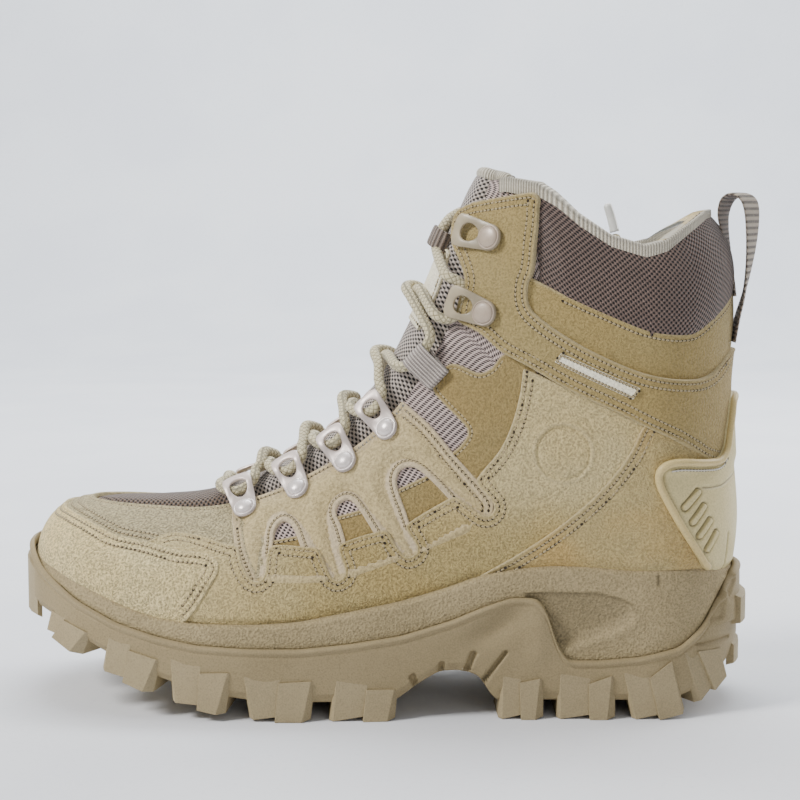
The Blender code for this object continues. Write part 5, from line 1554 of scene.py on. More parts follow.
def make_collar_binding():
    """Ribbed binding folded over the collar: its section is a squared arch over the rim, outside
    and inside, carried from one side of the throat round the heel."""
    rim = LAST_ROW - 0.4
    front = [float(upper_point(rim, throat_edge(rim, side), side)[0]) for side, _ in SIDES]
    ends = [float(arc_at(x + 4.0, 214.5, side)) for x, (side, _) in zip(front, SIDES)]
    p = np.linspace(*ends, 301)
    surface, normal, wall = shaft_wall(p, collar_heights(p, COLLAR, start=190.0) - RIM_ROUND)
    half = (wall + 0.4) / 2
    middle = surface + normal * (0.4 - half)[:, None]
    # Squared, to cover more of the wall's corners. The wall still reaches it round the heel.
    turn = np.linspace(0, np.pi, 22)
    arch = np.stack([np.cos(turn), np.sin(turn)], 1)
    arch = np.sign(arch) * np.abs(arch)**BINDING_SQUARE
    outer = np.concatenate([[(1.0, -1.0)], arch, [(-1.0, -0.7)]])
    loop = np.concatenate([outer, outer[::-1] * BINDING_INNER])
    grid = (middle[:, None] + loop[:, :1] * (normal * (half + BINDING_OUT)[:, None])[:, None]
            + loop[:, 1:] * np.array([0, 0, BINDING_HIGH]))
    weave = np.stack(np.broadcast_arrays(p[:, None], np.arange(len(loop))), -1)
    add_piece("collar_binding", tube_mesh("collar_binding", grid, weave), BINDING,
              ["upper"], sharp=50)


def tongue_chart(flat, lift=0.0):
    """Chart of the tongue: half width and ten times the row."""
    flat = np.asarray(flat, float)
    return tongue_point(flat[..., 1] / 10, flat[..., 0], np.asarray(lift, float) + 0 * flat[..., 0])


def make_tongue_trim():
    """Suede patch down the middle of the tongue and a light binding over its top."""
    line, number = pattern(TONGUE_PATCH)
    cut_piece("tongue_patch", line, tongue_chart, leather(1.0, (1.8,), 0.2), finish=PATCH_SUEDE,
              stands_for=("tongue",))
    stitch_along(line, number, 0.0, 6.0, tongue_chart, 0.9, 1.8)
    y = np.linspace(-1, 1, 61)
    half = spline("gap", 18.4) + 5.5
    line = tongue_point(18.5 - 0.25 * y**4, y * half, np.full(61, -1.9))
    make_tube("tongue_binding", line, 2.6, BINDING, ["tongue"])


make_shaft_bands()
make_collar_pad()
make_collar_binding()
make_tongue()
make_tongue_trim()


# ---- the sole's edge line -----------------------------------------------------------------------
OUTSOLE_RIM = np.array([(-152, 66), (-146, 64), (-138, 56), (-128, 49.5), (-121, 45), (-105, 37.5),
                        (-89, 33), (-73, 30), (-52, 29), (-32, 29), (-12, 31), (8, 34), (28, 40),
                        (40, 45), (52, 49), (62, 49), (66, 46), (70, 31), (75, 23.5), (88, 23.5),
                        (104, 25), (118, 28.5), (126, 36), (132, 47), (137, 56), (145, 60)])
HEEL_BLOCK = np.array([(-160, 0), (42, 0), (64, 2), (72, 20.5), (112, 21.5), (150, 8)])
ARCH = np.array([(5, 0), (8, 2), (11, 4.3), (15.7, 7.7), (23.2, 12), (30, 12.4), (35, 11.6),
                 (39.4, 9.7), (44.1, 2.3), (46, 0)])
SOLE_UNDER_FOOT, FLOOR, GAP = 5.0, 4.0, 0.3
TREAD_DEPTH, TOE_SPRING_START, TOE_SPRING, TOE_LIFT = 7.0, -35.0, 0.00323, 31.5
HEEL_BEVEL_START, HEEL_BEVEL = 110.0, 0.018
MIDSOLE_OUT, OUTSOLE_OUT = 4.5, 6.6
SOLE_HALF = 500           # points along each half of the sole's edge


def rounded_ring(values, reach):
    """Values round a closed ring of even points, smoothed over about reach millimetres."""
    count = len(values)
    wave = np.exp(-2 * (np.pi * np.fft.rfftfreq(count, RING_STEP) * reach)**2)
    wave = wave.reshape(-1, *[1] * (values.ndim - 1))
    return np.fft.irfft(np.fft.rfft(values, axis=0) * wave, count, axis=0)


def edge_rows():
    """Rows of the feather line's dense points for each half, a quarter step closer at the heel,
    and the share along each half at which the sole's even points lie."""
    plan = np.concatenate([np.linspace(0, 11, 700),
                           11 + 2 * np.sin(np.pi / 2 * np.linspace(0, 1, 500))[1:]])
    halves = []
    for side in (-1, 1):
        line = upper_point(plan, 0.0, side)
        line[[0, -1], 1] = swing(line[[0, -1], 0])
        length = along_line(line)
        at = np.linspace(0, length[-1], SOLE_HALF + 1)
        halves.append(np.interp(at, length, plan))
    return halves


def both_halves(outer, inner):
    """Closed ring from the toe along the outer side to the heel and back on the inner side."""
    return np.concatenate([outer, inner[-2:0:-1]])


EDGE_ROWS = edge_rows()
RING_SIDE = both_halves(-np.ones(SOLE_HALF + 1), np.ones(SOLE_HALF + 1))
RING_ROW = both_halves(*EDGE_ROWS)
RING_FOOT = upper_point(RING_ROW, 0.0, RING_SIDE)
RING_STEP = float(np.mean(np.linalg.norm(RING_FOOT - np.roll(RING_FOOT, 1, 0), axis=1)))
RING_X = RING_FOOT[:, 0].copy()
RING = rounded_ring(RING_FOOT[:, :2], 1.6)
RING_OUT = np.roll(RING, -1, 0) - np.roll(RING, 1, 0)
RING_OUT = unit(rounded_ring(np.stack([RING_OUT[:, 1], -RING_OUT[:, 0]], 1), 3.0))
RIM = rounded_ring(np.interp(RING_X, *MIDSOLE_RIM.T), 3.5)
RAND = rounded_ring(np.interp(RING_X, *OUTSOLE_RIM.T), 1.7)


def at_ring(offset, height):
    """Points level with the sole's edge line, moved out by offset, at a height."""
    offset = np.broadcast_to(np.asarray(offset, float), RING_X.shape)
    plan = RING + RING_OUT * offset[:, None]
    return np.column_stack([plan, np.broadcast_to(height, RING_X.shape)])


def rim_ring(clearance, drop=0.0):
    """Ring on the upper's surface at the rim's height less a drop, moved out by clearance."""
    z = RIM - drop
    start, end = RING_X.min(), RING_X.max()
    x = nose_x(z) + (RING_X - start) * (back_x(z) - nose_x(z)) / (end - start)
    y = RING_SIDE * width_at(x, z, RING_SIDE) + swing(x)
    plan = rounded_ring(np.stack([x, y], 1), 1.6) + RING_OUT * clearance
    return np.column_stack([plan, z])


def distance_to_path(x, z, path, step=0.4):
    """Distance from each (x, z) to a polyline of corners."""
    line = even_line(np.array(path, float), step)
    return distance_to(np.stack([x, z], -1).reshape(-1, 2), line).reshape(x.shape)


RECESS_TOP = [(58, 51), (65.6, 51.2), (87.1, 51.0), (97, 48.4), (101.6, 46.0), (103.1, 42.5)]
RECESS_LOW = [(103.1, 42.5), (101.5, 38.5), (97.1, 35.2), (83.5, 29.6), (73.7, 26.6), (58, 26)]
RIM_CUT = [(107.4, 64.5), (109.8, 60.5), (111.3, 57.0), (111.4, 53.8)]
LIP = 2.2                 # radius of the cup's rounded lip


def make_midsole():
    """Cup's wall from under the outsole's edge to a rounded lip, then down inside. Its rows share
    out the height between the outsole's edge and the lip; a teardrop is pressed into the heel,
    with a crisp upper edge and a soft lower one."""
    foot = np.minimum(RAND - 0.6, RIM - 6.0)
    share = np.linspace(0, 1, 52)[:, None]
    z = foot + (RIM - LIP - foot) * share
    offset = MIDSOLE_OUT + 0.55 * np.sin(np.pi * share**0.8) + 0 * z
    x = RING_X + RING_OUT[:, 0] * MIDSOLE_OUT + 0 * z
    inside = is_inside(np.stack([x, z], -1).reshape(-1, 2),
                       np.array(RECESS_TOP + RECESS_LOW[1:], float)).reshape(x.shape)
    top = distance_to_path(x, z, RECESS_TOP)
    low = distance_to_path(x, z, RECESS_LOW)
    pressed = 0.95 * smooth_share(top / 0.8) + 1.6 * smooth_share(top / 13)
    offset = offset - np.where(inside, pressed * smooth_share(low / 6.5)**0.8, 0)
    offset = offset + 0.55 * bell(low, 2.2) * smooth_share((x - 66) / 6)
    # A short curved cut in the rim, and a deep crease where the wall meets the outsole's edge.
    cut = distance_to_path(x, z, RIM_CUT)
    offset = offset - 0.9 * bell(cut, 0.55)
    rows = [at_ring(2.0, foot - 4.0), at_ring(MIDSOLE_OUT - 0.8, foot - 1.5)]
    rows += [at_ring(o, h) for o, h in zip(offset, z)]
    edge, inner = at_ring(MIDSOLE_OUT, RIM - LIP), rim_ring(1.3)
    for turn in np.linspace(0, np.pi / 2, 9)[1:]:
        plan = edge[:, :2] + (inner[:, :2] - edge[:, :2]) * (1 - np.cos(turn))
        rows.append(np.column_stack([plan, edge[:, 2] + LIP * np.sin(turn)]))
    rows += [rim_ring(1.0, 0.8), rim_ring(0.6, 3.5)]
    grid = np.array(rows)
    # Painted shade in the recess, along its crisp upper edge and in the rim's cut.
    hollow = np.zeros(grid.shape[:2])
    marks = np.maximum(0.5 * smooth_share(top / 1.2) * smooth_share(low / 5.0),
                       0.9 * bell(top - 0.6, 0.7))
    hollow[2:2 + len(z)] = np.maximum(inside * marks, bell(cut, 0.6))
    add_piece("cup_midsole", grid_mesh("cup_midsole", grid, bare_nap_and_painted_light=hollow, close_columns=True), FOAM,
              ["midsole"])


def tread_height(x):
    """Height of the lugs' faces: level, with the toe's spring and the heel's bevel."""
    toe, heel = np.clip(TOE_SPRING_START - x, 0, None), np.clip(x - HEEL_BEVEL_START, 0, None)
    return np.minimum(TOE_SPRING * toe**2, TOE_LIFT) + HEEL_BEVEL * heel**2


def web_height(x):
    """Height of the sole between the lugs, raised under the arch."""
    order = slice(0, SOLE_HALF + 1)
    feather = np.interp(x, RING_X[order], RING_FOOT[order, 2])
    seat = feather - SOLE_UNDER_FOOT - np.interp(x, *HEEL_BLOCK.T)
    level = tread_height(x) + TREAD_DEPTH + np.interp(x, *ARCH.T)
    return np.minimum(level, seat - GAP - FLOOR)


SIPES = [((13.2, 17.5), (15.8, 11.0), 0.9), ((24.8, 22.2), (24.4, 16.5), 0.95),
         ((37.5, 26.4), (33.4, 16.6), 0.95), ((50.2, 26.8), (39.6, 12.8), 0.6)]
# The heel's back in (arc from its middle, height): pressed panels and a lens-shaped groove.
HEEL_PANELS = [[(22.5, 61), (14.0, 52), (21.5, 45), (25.5, 52.5)],
               [(33.0, 36.8), (24.5, 37.5), (23.5, 44.5), (26.5, 48.5)]]
HEEL_GROOVE = (28.0, 29.2, 9.5, 0.95)     # arc, height, half length and half height
WEB_COLUMNS = 25          # points across the web, with its two edges


def heel_relief(z):
    """Relief of the wall round the heel: it stands out above a ledge, with pressed panels between
    its ribs, and has a lens-shaped groove below."""
    order = np.arange(2 * SOLE_HALF)
    arc = np.minimum(np.abs(order - SOLE_HALF), 2 * SOLE_HALF - np.abs(order - SOLE_HALF))
    arc = arc * RING_STEP + 0 * z
    out = 1.9 * smooth_share((z - 35.4) / 0.7) * smooth_share((34 - arc) / 16)
    out = out - 0.8 * smooth_share((z - 43) / 2.0) * smooth_share((23 - arc) / 3)
    flat = np.stack([arc, z], -1).reshape(-1, 2)
    for panel in HEEL_PANELS:
        panel = np.array(panel, float)
        inside = is_inside(flat, panel).reshape(z.shape)
        edge = distance_to_path(arc, z, np.concatenate([panel, panel[:1]]), 0.3)
        out = out - np.where(inside, 1.3 * smooth_share(edge / 1.2), 0)
    middle, height, long, wide = HEEL_GROOVE
    reach = wide * np.sqrt(np.clip(1 - ((arc - middle) / long)**2, 0, 1)) + 0.02
    out = out - 1.5 * np.exp(-((z - height) / reach)**2) * (np.abs(arc - middle) < long)
    return out


def make_outsole_wall():
    """Outsole: a wall from its beaded top edge down to the web, and the web across under the
    foot. The wall has a bead below its edge, a broad hollow in the leg and cuts over the arch."""
    web = rounded_ring(web_height(RING_X), 1.2)
    share = np.linspace(0, 1, 64)[:, None]
    z = RAND - (RAND - web - 1.2) * share
    below = RAND - z
    offset = (OUTSOLE_OUT + 0.25 * np.sin(np.pi / 2 * np.clip(below / 9, 0, 1))
              - 1.1 * bell(below, 0.5) + 0.45 * bell(below - 1.5, 1.0)
              - 0.28 * bell(below - 3.2, 0.5))
    offset = offset - 0.9 * smooth_share((share - 0.86) / 0.14)
    x = RING_X + RING_OUT[:, 0] * OUTSOLE_OUT + 0 * z
    offset = offset - 2.6 * bell(x - 47, 9.5) * bell(z - 0.45 * (x - 47) - 37.5, 5.5)
    offset = offset + 0.9 * bell(x - 63.5, 4.5) * smooth_share((z - 18) / 10)
    for start, end, half in SIPES:
        d = distance_to_path(x, z, [start, end], 0.2)
        offset = offset - 2.4 * smooth_share((half + 0.55 - d) / 0.75)
    offset = offset + heel_relief(z)
    rows = [at_ring(MIDSOLE_OUT + 0.2, RAND - 3.0), at_ring(MIDSOLE_OUT + 0.35, RAND - 0.35)]
    rows += [at_ring(o, h) for o, h in zip(offset, z)]
    rows += [at_ring(OUTSOLE_OUT - 1.2, web + 0.4), at_ring(OUTSOLE_OUT - 2.6, web)]
    wall = np.array(rows)
    # The web: strips of points across, from each place of the outer half to the inner half's.
    count, inner_points = 2 * SOLE_HALF, WEB_COLUMNS - 2
    out, into = np.arange(SOLE_HALF + 1), (-np.arange(SOLE_HALF + 1)) % count
    last, across = wall[-1], np.linspace(0, 1, WEB_COLUMNS)[1:-1, None, None]
    strips = (last[out] + (last[into] - last[out]) * across).transpose(1, 0, 2)
    start, first = (len(wall) - 1) * count, len(wall) * count
    between = first + np.arange((SOLE_HALF + 1) * inner_points).reshape(-1, inner_points)
    index = np.concatenate([start + out[:, None], between, start + into[:, None]], 1)
    under = index.ravel()[grid_quads(*index.shape)]
    walls = grid_quads(len(wall), count, close_columns=True)
    points = np.concatenate([wall.reshape(-1, 3), strips.reshape(-1, 3)])
    mesh = new_mesh("outsole_shell", points, [walls[:, ::-1], under])
    add_piece("outsole_shell", mesh, SOLE_RUBBER, ["outsole"])


def edge_at(x, side, depth):
    """Plan place on the sole's edge at x, moved out by depth."""
    order = slice(0, SOLE_HALF + 1) if side < 0 else (-np.arange(SOLE_HALF + 1)) % len(RING_X)
    along = RING_X[order]
    plan = [np.interp(x, along, RING[order, k] + RING_OUT[order, k] * depth) for k in (0, 1)]
    return np.array(plan)


# Each side lug is a low block and a prouder one behind it. Places along the feather line at the
# top and at the tread, with heights on the wall, of the low block's front edge, of the proud
# block's front edge and of its rear edge.
LUG_COLUMNS = ("low_top", "low_height", "low_foot", "proud_top", "proud_height", "proud_foot",
               "rear_top", "rear_height", "rear_foot")
SIDE_LUGS = [
    (-132.3, 39.0, -134.2, -125.9, 36.6, -129.6, -116.9, 33.0, -122.1),
    (-108.2, 31.6, -110.5, -99.4, 27.1, -101.4, -88.5, 24.0, -93.3),
    (-83.3, 24.6, -82.0, -71.3, 19.1, -72.0, -60.0, 19.6, -64.5),
    (-54.3, 18.4, -51.5, -40.4, 15.7, -41.9, -27.8, 16.4, -31.3),
    (-18.2, 16.5, -20.5, -6.1, 12.6, -7.6, 5.0, 12.6, 2.0),
    (48.5, 17.5, 47.1, 55.4, 14.8, 55.9, 63.7, 16.5, 61.7),
    (71.5, 18.5, 70.6, 83.3, 14.3, 83.6, 92.4, 17.6, 90.7),
    (97.0, 18.8, 101.0, 107.2, 16.8, 110.5, 114.6, 23.5, 118.0),
    (118.8, 26.5, 123.5, 123.6, 26.5, 128.6, 131.5, 26.0, 132.6),
]
LUG_REACH, LUG_OUT, LUG_STEP = 19.0, 1.6, 1.5
CENTRE_LUGS = [(-112.0, 15.0), (-88.0, 19.0), (-62.0, 21.0), (-36.0, 20.0), (-8.0, 16.0),
               (60.0, 9.0), (84.0, 10.0), (108.0, 9.0)]
CHEVRON = 5.0
# Bumper blocks: row of the feather line at their middle and at their ends, how far out they are
# at each, and their low and high edges.
BUMPERS = [(0.0, 2.1, 8.4, 6.75, 33.5, 60.0), (13.0, 12.9, 10.6, 10.6, 33.0, 47.0),
           (13.0, 12.9, 8.0, 8.0, 16.0, 27.0)]


def lug_loops(side, corners):
    """Bottom and top loops of a side lug from the low block's corners: place, reach and lift at
    the tread, then place, reach and height at the top."""
    bottom, crown = [], []
    for foot, out, lift, top, out_top, height in corners:
        low, high = edge_at(foot, side, out), edge_at(top, side, out_top)
        at = max(float(edge_at(foot, side, OUTSOLE_OUT)[0]), foot) if foot > 100 else foot
        bottom.append((*low, float(tread_height(at)) + lift))
        crown.append((*high, height if out_top > 0 else float(web_height(high[0])) + 1.5))
    return bottom, crown


def side_lugs(side):
    """The low and proud blocks of each side lug: their faces lean out from the wall to the tread,
    the low one's tread rises to the proud one and the proud one's rear edge is cut back."""
    low_out, proud_out, inner = OUTSOLE_OUT + LUG_OUT, OUTSOLE_OUT + LUG_OUT + LUG_STEP, -LUG_REACH
    flush, ledge, sunk = OUTSOLE_OUT + 0.25, OUTSOLE_OUT + 1.1, OUTSOLE_OUT - 0.6
    loops = []
    for lug in SIDE_LUGS:
        at = dict(zip(LUG_COLUMNS, lug))
        top, foot, high = at["low_top"], at["low_foot"], at["low_height"]
        mid_top, mid_foot, mid_high = at["proud_top"], at["proud_foot"], at["proud_height"]
        end_top, end_foot, end_high = at["rear_top"], at["rear_foot"], at["rear_height"]
        cut = 3.4 if end_foot < 110 else 1.6
        loops.append(lug_loops(side, [
            (foot - 0.3, inner, 0.0, top, inner, 0.0),
            (foot - 0.3, sunk, 0.2, top - 0.2, sunk, high),
            (foot + 1.3, low_out, 0.0, top + 0.4, flush, high),
            (mid_foot + 0.7, low_out, 1.9, mid_top + 0.7, flush, (high + mid_high) / 2),
            (mid_foot + 0.7, inner, 0.0, mid_top + 0.7, inner, 0.0)]))
        loops.append(lug_loops(side, [
            (mid_foot, inner, 0.0, mid_top, inner, 0.0),
            (mid_foot, proud_out, 0.0, mid_top, ledge, mid_high),
            (end_foot, proud_out, 0.0, end_top, ledge, end_high),
            (end_foot + cut, proud_out - 3.2, 0.7, end_top + 0.45 * cut, sunk, end_high - 0.2),
            (end_foot + cut, inner, 0.7, end_top + 0.45 * cut, inner, 0.0)]))
    return loops


def centre_lug(x, half):
    """Chevron block under the middle of the foot, a little narrower at its tread."""
    long = 13.0 if half > 11 else 11.0
    middle = float(swing(x)) - 1.0
    corners = [(x, -half), (x - CHEVRON, 0), (x, half), (x + long, half),
               (x + long - CHEVRON, 0), (x + long, -half)]
    return ([(a, b * 0.93 + middle, float(tread_height(a))) for a, b in corners],
            [(a, b + middle, float(web_height(a)) + 2.0) for a, b in corners])


def bumper(middle, end, out, end_out, low, high):
    """Block round the toe or the heel. Its top keeps below the outsole's edge, which falls away
    from the toe."""
    shares = np.linspace(-1, 1, 9)
    xs = [float(np.interp(middle + (end - middle) * abs(k), RING_ROW[:SOLE_HALF + 1],
                          RING_X[:SOLE_HALF + 1])) for k in shares]
    places = [(x, -1 if k < 0 else 1, out + (end_out - out) * k**2) for x, k in zip(xs, shares)]
    plan = [edge_at(x, side, OUTSOLE_OUT - 2.0) for x, side, _ in places]
    plan += [edge_at(x, side, reach) for x, side, reach in places[::-1]]
    tops = [min(high, float(np.interp(x, *OUTSOLE_RIM.T)) - 2.5) for x in xs]
    tops += [top - 2.2 for top in tops[::-1]]
    return ([(*p, low + (0 if k < len(places) else 1.2)) for k, p in enumerate(plan)],
            [(*p, top) for p, top in zip(plan, tops)])


def make_lugs():
    """All the tread's blocks in one mesh: each is a closed block between two loops of corners,
    softened by a bevel."""
    loops = side_lugs(-1) + side_lugs(1)
    loops += [centre_lug(*lug) for lug in CENTRE_LUGS] + [bumper(*block) for block in BUMPERS]
    points, faces, first = [], {}, 0
    for bottom, top in loops:
        n = len(bottom)
        bottom, top = np.array(bottom), np.array(top)
        area = bottom[:, 0] * np.roll(bottom[:, 1], -1) - np.roll(bottom[:, 0], -1) * bottom[:, 1]
        if area.sum() < 0:
            bottom, top = bottom[::-1], top[::-1]
        points += [bottom, top]
        k = np.arange(n)
        sides = first + np.stack([k, (k + 1) % n, n + (k + 1) % n, n + k], 1)
        faces.setdefault(4, []).append(sides)
        faces.setdefault(n, []).append(first + np.array([k[::-1], n + k]))
        first += 2 * n
    faces = [np.concatenate(group) for group in faces.values()]
    made = add_piece("tread_lugs", new_mesh("tread_lugs", np.concatenate(points), faces),
                     LUG_RUBBER, ["outsole"], sharp=28)
    finish_with(made, "BEVEL", width=0.5 * MM, segments=2, angle_limit=np.radians(24),
                limit_method="ANGLE", harden_normals=True)


make_midsole()
make_outsole_wall()
make_lugs()


# ---- heel counter -------------------------------------------------------------------------------
COUNTER_LINE = [(129.5, 58), (127.0, 61), (120.0, 73), (115.5, 81), (110.9, 90), (108.8, 96.0),
                (109.2, 100.5), (112.5, 103.6), (117.0, 104.3), (126.5, 103.2), (132.5, 103.2),
                (135.2, 106.5), (136.4, 113), (137.6, 120), (138.4, 125.5)]
COUNTER_SLOTS = [((119.9, 85.0), (124.8, 90.6)), ((123.0, 78.9), (127.2, 84.6)),
                 ((125.7, 73.3), (129.7, 78.6)), ((128.8, 67.4), (132.3, 73.2))]
SLOT_RINGS = (0.45, 0.85, 1.05, 1.25, 1.55, 1.85, 2.2)
COUNTER_CREST = [(126.9, 92.0), (130.3, 91.6), (134.6, 91.6), (137.9, 93.0), (141.0, 94.8)]


def counter_lift(z):
    """Lift of the counter over the upper: more where it stands over the strap."""
    return 3.4 + 1.2 * smooth_share((z - 97) / 6)


def make_counter():
    """Moulded counter cut on the shaft chart, with raised slots, a crest line, a smooth panel and
    a split at the heel, and a round piping carried along its edge."""
    half = on_shaft(COUNTER_LINE, -1)
    top = [(-4.0, 127.6), (4.0, 127.6)]
    outline = half + top + [(-a, b) for a, b, *_ in half[::-1]]
    low = on_shaft([(130.5, 52)], -1)[0][0]
    outline = [(low, 52.0, 1)] + outline + [(-low, 52.0, 1)]
    line, number = pattern(outline, 0.7)
    slots = [np.array([on_shaft([p], -1)[0] for p in pair]) for pair in COUNTER_SLOTS]
    crest = np.array(on_shaft(COUNTER_CREST, -1))
    split = np.array(on_shaft([(137.8, 72), (136.0, 56)], -1))
    closer = [around(pair, reach) for pair in slots for reach in SLOT_RINGS]
    closer += [even_line(pair, 0.5) for pair in slots]
    closer += [beside(path, (-0.8, -0.4, 0.0, 0.4, 0.8), 0.5) for path in (crest, split)]
    closer = np.concatenate(closer)
    closer = np.concatenate([closer, closer * [-1, 1]])

    def relief(flat, d):
        mirror = outer_half(flat)
        lift = counter_lift(flat[:, 1]) + 0 * d
        # Painted shade is marked in every groove: along the edge, round the slots, on the crest and
        # at the split.
        edge_line = bell(d - 2.9, 0.45)
        lift, hollow = lift - 0.6 * edge_line, 0.5 * edge_line
        for pair in slots:
            near = distance_to_path(mirror[:, 0], mirror[:, 1], pair, 0.2)
            groove = bell(near - 1.55, 0.36)
            lift = lift + 0.7 * smooth_share((1.25 - near) / 0.4) - 0.8 * groove
            hollow = np.maximum(hollow, groove)
        for path, depth in ((crest, 0.7), (split, 1.0)):
            near = distance_to_path(mirror[:, 0], mirror[:, 1], path, 0.3)
            lift = lift - depth * bell(near, 0.45)
            hollow = np.maximum(hollow, 0.8 * bell(near, 0.4))
        return lift, hollow
    relief = tucked(relief, 1.1, lambda flat: shaft_bare(flat[:, 0], flat[:, 1])[:, 0])
    cut_piece("counter_shell", line, shaft_chart, relief, 1.0, -0.4, COUNTER,
              ["heel_counter"], rings=(0.1, 0.9, 1.8, 2.45, 2.9, 3.35), closer=closer)
    keep = (number > 1.2) & (number < len(outline) - 2.2)
    path = inset(line, shaft_chart, 1.2)[keep]
    ride = shaft_chart(path, counter_lift(path[:, 1]) + 0.15)
    make_tube("counter_piping", ride, 1.55, PIPING, ["heel_counter"])
    for first, last in ((8.2, 11.6), (len(outline) - 12.6, len(outline) - 9.2)):
        stitch_along(line, number, first, last, shaft_chart, counter_lift(103.0) - 0.1, 4.3,
                     pitch=2.4, length=1.9, runs=PALE_RUNS)


# ---- plates and rivets --------------------------------------------------------------------------
PLATE_SIDES, DOME_SIDES = 56, 28


def plate_mesh(name, frame, plate, stand_off, flare, dome_height):
    """Plate with an eye and a domed rivet. The plate's skin runs from its rim over its top to the
    eye and back below: a share of the way from the outer line to the eye's, at a height."""
    size = dict(zip(PLATE_COLUMNS, plate))
    thick, rivet = size["thick"], size["rivet"]
    c, s = circle(PLATE_SIDES, 1.0).T
    # A rounded nose in front, a straight side on each hand and half an ellipse behind the rivet.
    behind, half_wide, nose = rivet + 1.1, size["half_wide"], size["half_wide"] * 0.55
    straight = size["length"] - nose
    along = np.clip(1 - np.abs(c) / 0.25, 0, 1) / 2
    side_u = straight * np.where(c > 0, 1 - along, along)
    side_v = behind + (half_wide - behind) * np.clip(side_u / straight, 0, 1)
    back = (np.abs(c) - 0.25) / 0.75
    zones = [c >= 0.25, c > -0.25]
    u = np.select(zones, [straight + nose * np.abs(c)**0.62, side_u], -behind * back)
    v = np.sign(s) * np.select(zones, [half_wide * np.abs(s)**0.62, side_v],
                               behind * np.sqrt(np.clip(1 - back**2, 0, 1)))
    hole_u = size["hole_at"] + size["hole_u"] * c + flare * (c > 0) * c
    hole_v = size["hole_v"] * s * (1 + 0.12 * c)
    skin = np.array([(0.14, 0.0), (0.03, 0.1), (0.0, 0.35), (0.0, thick - 0.4),
                     (0.03, thick - 0.12), (0.12, thick), (0.5, thick + 0.06), (0.88, thick),
                     (0.97, thick - 0.12), (1.0, thick - 0.4), (1.0, 0.35), (0.94, 0.05)])
    share, height = skin[:, :1], skin[:, 1:]
    uu, vv = u + (hole_u - u) * share, v + (hole_v - v) * share
    rise = stand_off * smooth_share((uu - 4.5) / 8.0)
    body = placed(frame, uu, vv, height + rise)
    quads = grid_quads(len(skin), PLATE_SIDES, close_rows=True, close_columns=True)
    tilt = np.linspace(0, np.pi / 2, 8)
    dome = np.concatenate([[(rivet + 0.75, thick - 0.3), (rivet + 0.75, thick + 0.3),
                            (rivet + 0.5, thick + 0.45), (rivet + 0.12, thick + 0.35),
                            (rivet, thick + 0.1)],
                           np.stack([rivet * np.cos(tilt), thick + 0.4 + dome_height * np.sin(tilt)],
                                    1)])
    dome[-1, 0] = 0.12
    across, along = circle(DOME_SIDES, 1.0).T
    cap = placed(frame, dome[:, :1] * across, dome[:, :1] * along, dome[:, 1:] + 0 * across)
    first = len(skin) * PLATE_SIDES
    dome_quads = first + grid_quads(len(dome), DOME_SIDES, close_columns=True)
    lid = (first + (len(dome) - 1) * DOME_SIDES + np.arange(DOME_SIDES))[None]
    numbers = np.repeat([0, 1, 1], [len(quads), len(dome_quads), 1])
    faces = [quads[:, ::-1], dome_quads, lid]
    # Share of the painted highlight, rising from just behind the eye to the tip.
    bright = smooth_share((uu - size["hole_at"] + 2.0) / 6.0) + 0 * height
    return new_mesh(name, np.concatenate([body.reshape(-1, 3), cap.reshape(-1, 3)]), faces,
                    bare_nap_and_painted_light=np.concatenate([bright.ravel(), np.zeros(cap.size // 3)]),
                    numbers=numbers)


def make_hardware():
    """Ring plates up the throat and hooks above them, on both sides."""
    for side, end in SIDES:
        for number, s in enumerate(RING_ROWS, 1):
            name = f"ring_plate_{end}_{number}"
            mesh = plate_mesh(name, plate_frame(s, RING_Y, side), RING_PLATE, stand_off=3.3,
                              flare=-0.2, dome_height=1.9)
            add_piece(name, mesh, [METAL, RIVET], [f"lace_ring_{end}_{number}"])
        for number, (s, y, turn) in enumerate(HOOKS, 1):
            name = f"hook_plate_{end}_{number}"
            place = plate_frame(s, y, side, turn, HOOK_RISE)
            mesh = plate_mesh(name, place, HOOK_PLATE, stand_off=1.2, flare=0.0, dome_height=1.1)
            add_piece(name, mesh, [HOOK_COAT, HOOK_RIVET],
                      [f"hook_{end}_{number}"])


# ---- webbing ------------------------------------------------------------------------------------
def strap_mesh(name, centre, half, normal, thick, two_toned=False):
    """Flat webbing along a line of centres, with a half width vector and a thickness direction
    at each. Its section is a flat rounded bar: |cos|^0.35 across by |sin|^0.9 through."""
    c, s = circle(40, 1.0).T
    wide, high = np.sign(c) * np.abs(c)**0.35, np.sign(s) * np.abs(s)**0.9
    grid = (centre[:, None] + wide[None, :, None] * half[:, None]
            + high[None, :, None] * thick * normal[:, None])
    weave = np.stack([along_line(centre)[:, None] + 0 * wide,
                      np.linalg.norm(half, axis=1)[:, None] * wide], -1)
    numbers = None
    if two_toned:
        under = np.tile((high + np.roll(high, -1)) < 0, len(centre) - 1).astype(int)
        numbers = np.concatenate([under, [0, 0]])
    return tube_mesh(name, grid, weave, numbers)


# x, z and the webbing's twist in degrees.
PULL_LOOP = np.array([(143.3, 168.0, 0.0), (142.6, 176.0, 3.0), (141.2, 186.0, 9.0),
                      (139.4, 195.0, 15.0), (138.8, 202.0, 20.0), (140.6, 207.5, 24.0),
                      (144.5, 209.6, 27.0), (148.6, 207.8, 27.0), (150.4, 202.5, 25.0),
                      (150.6, 192.0, 20.0), (149.6, 180.0, 13.0), (147.6, 168.0, 6.0),
                      (145.3, 159.0, 2.0), (143.4, 149.0, 0.0)])


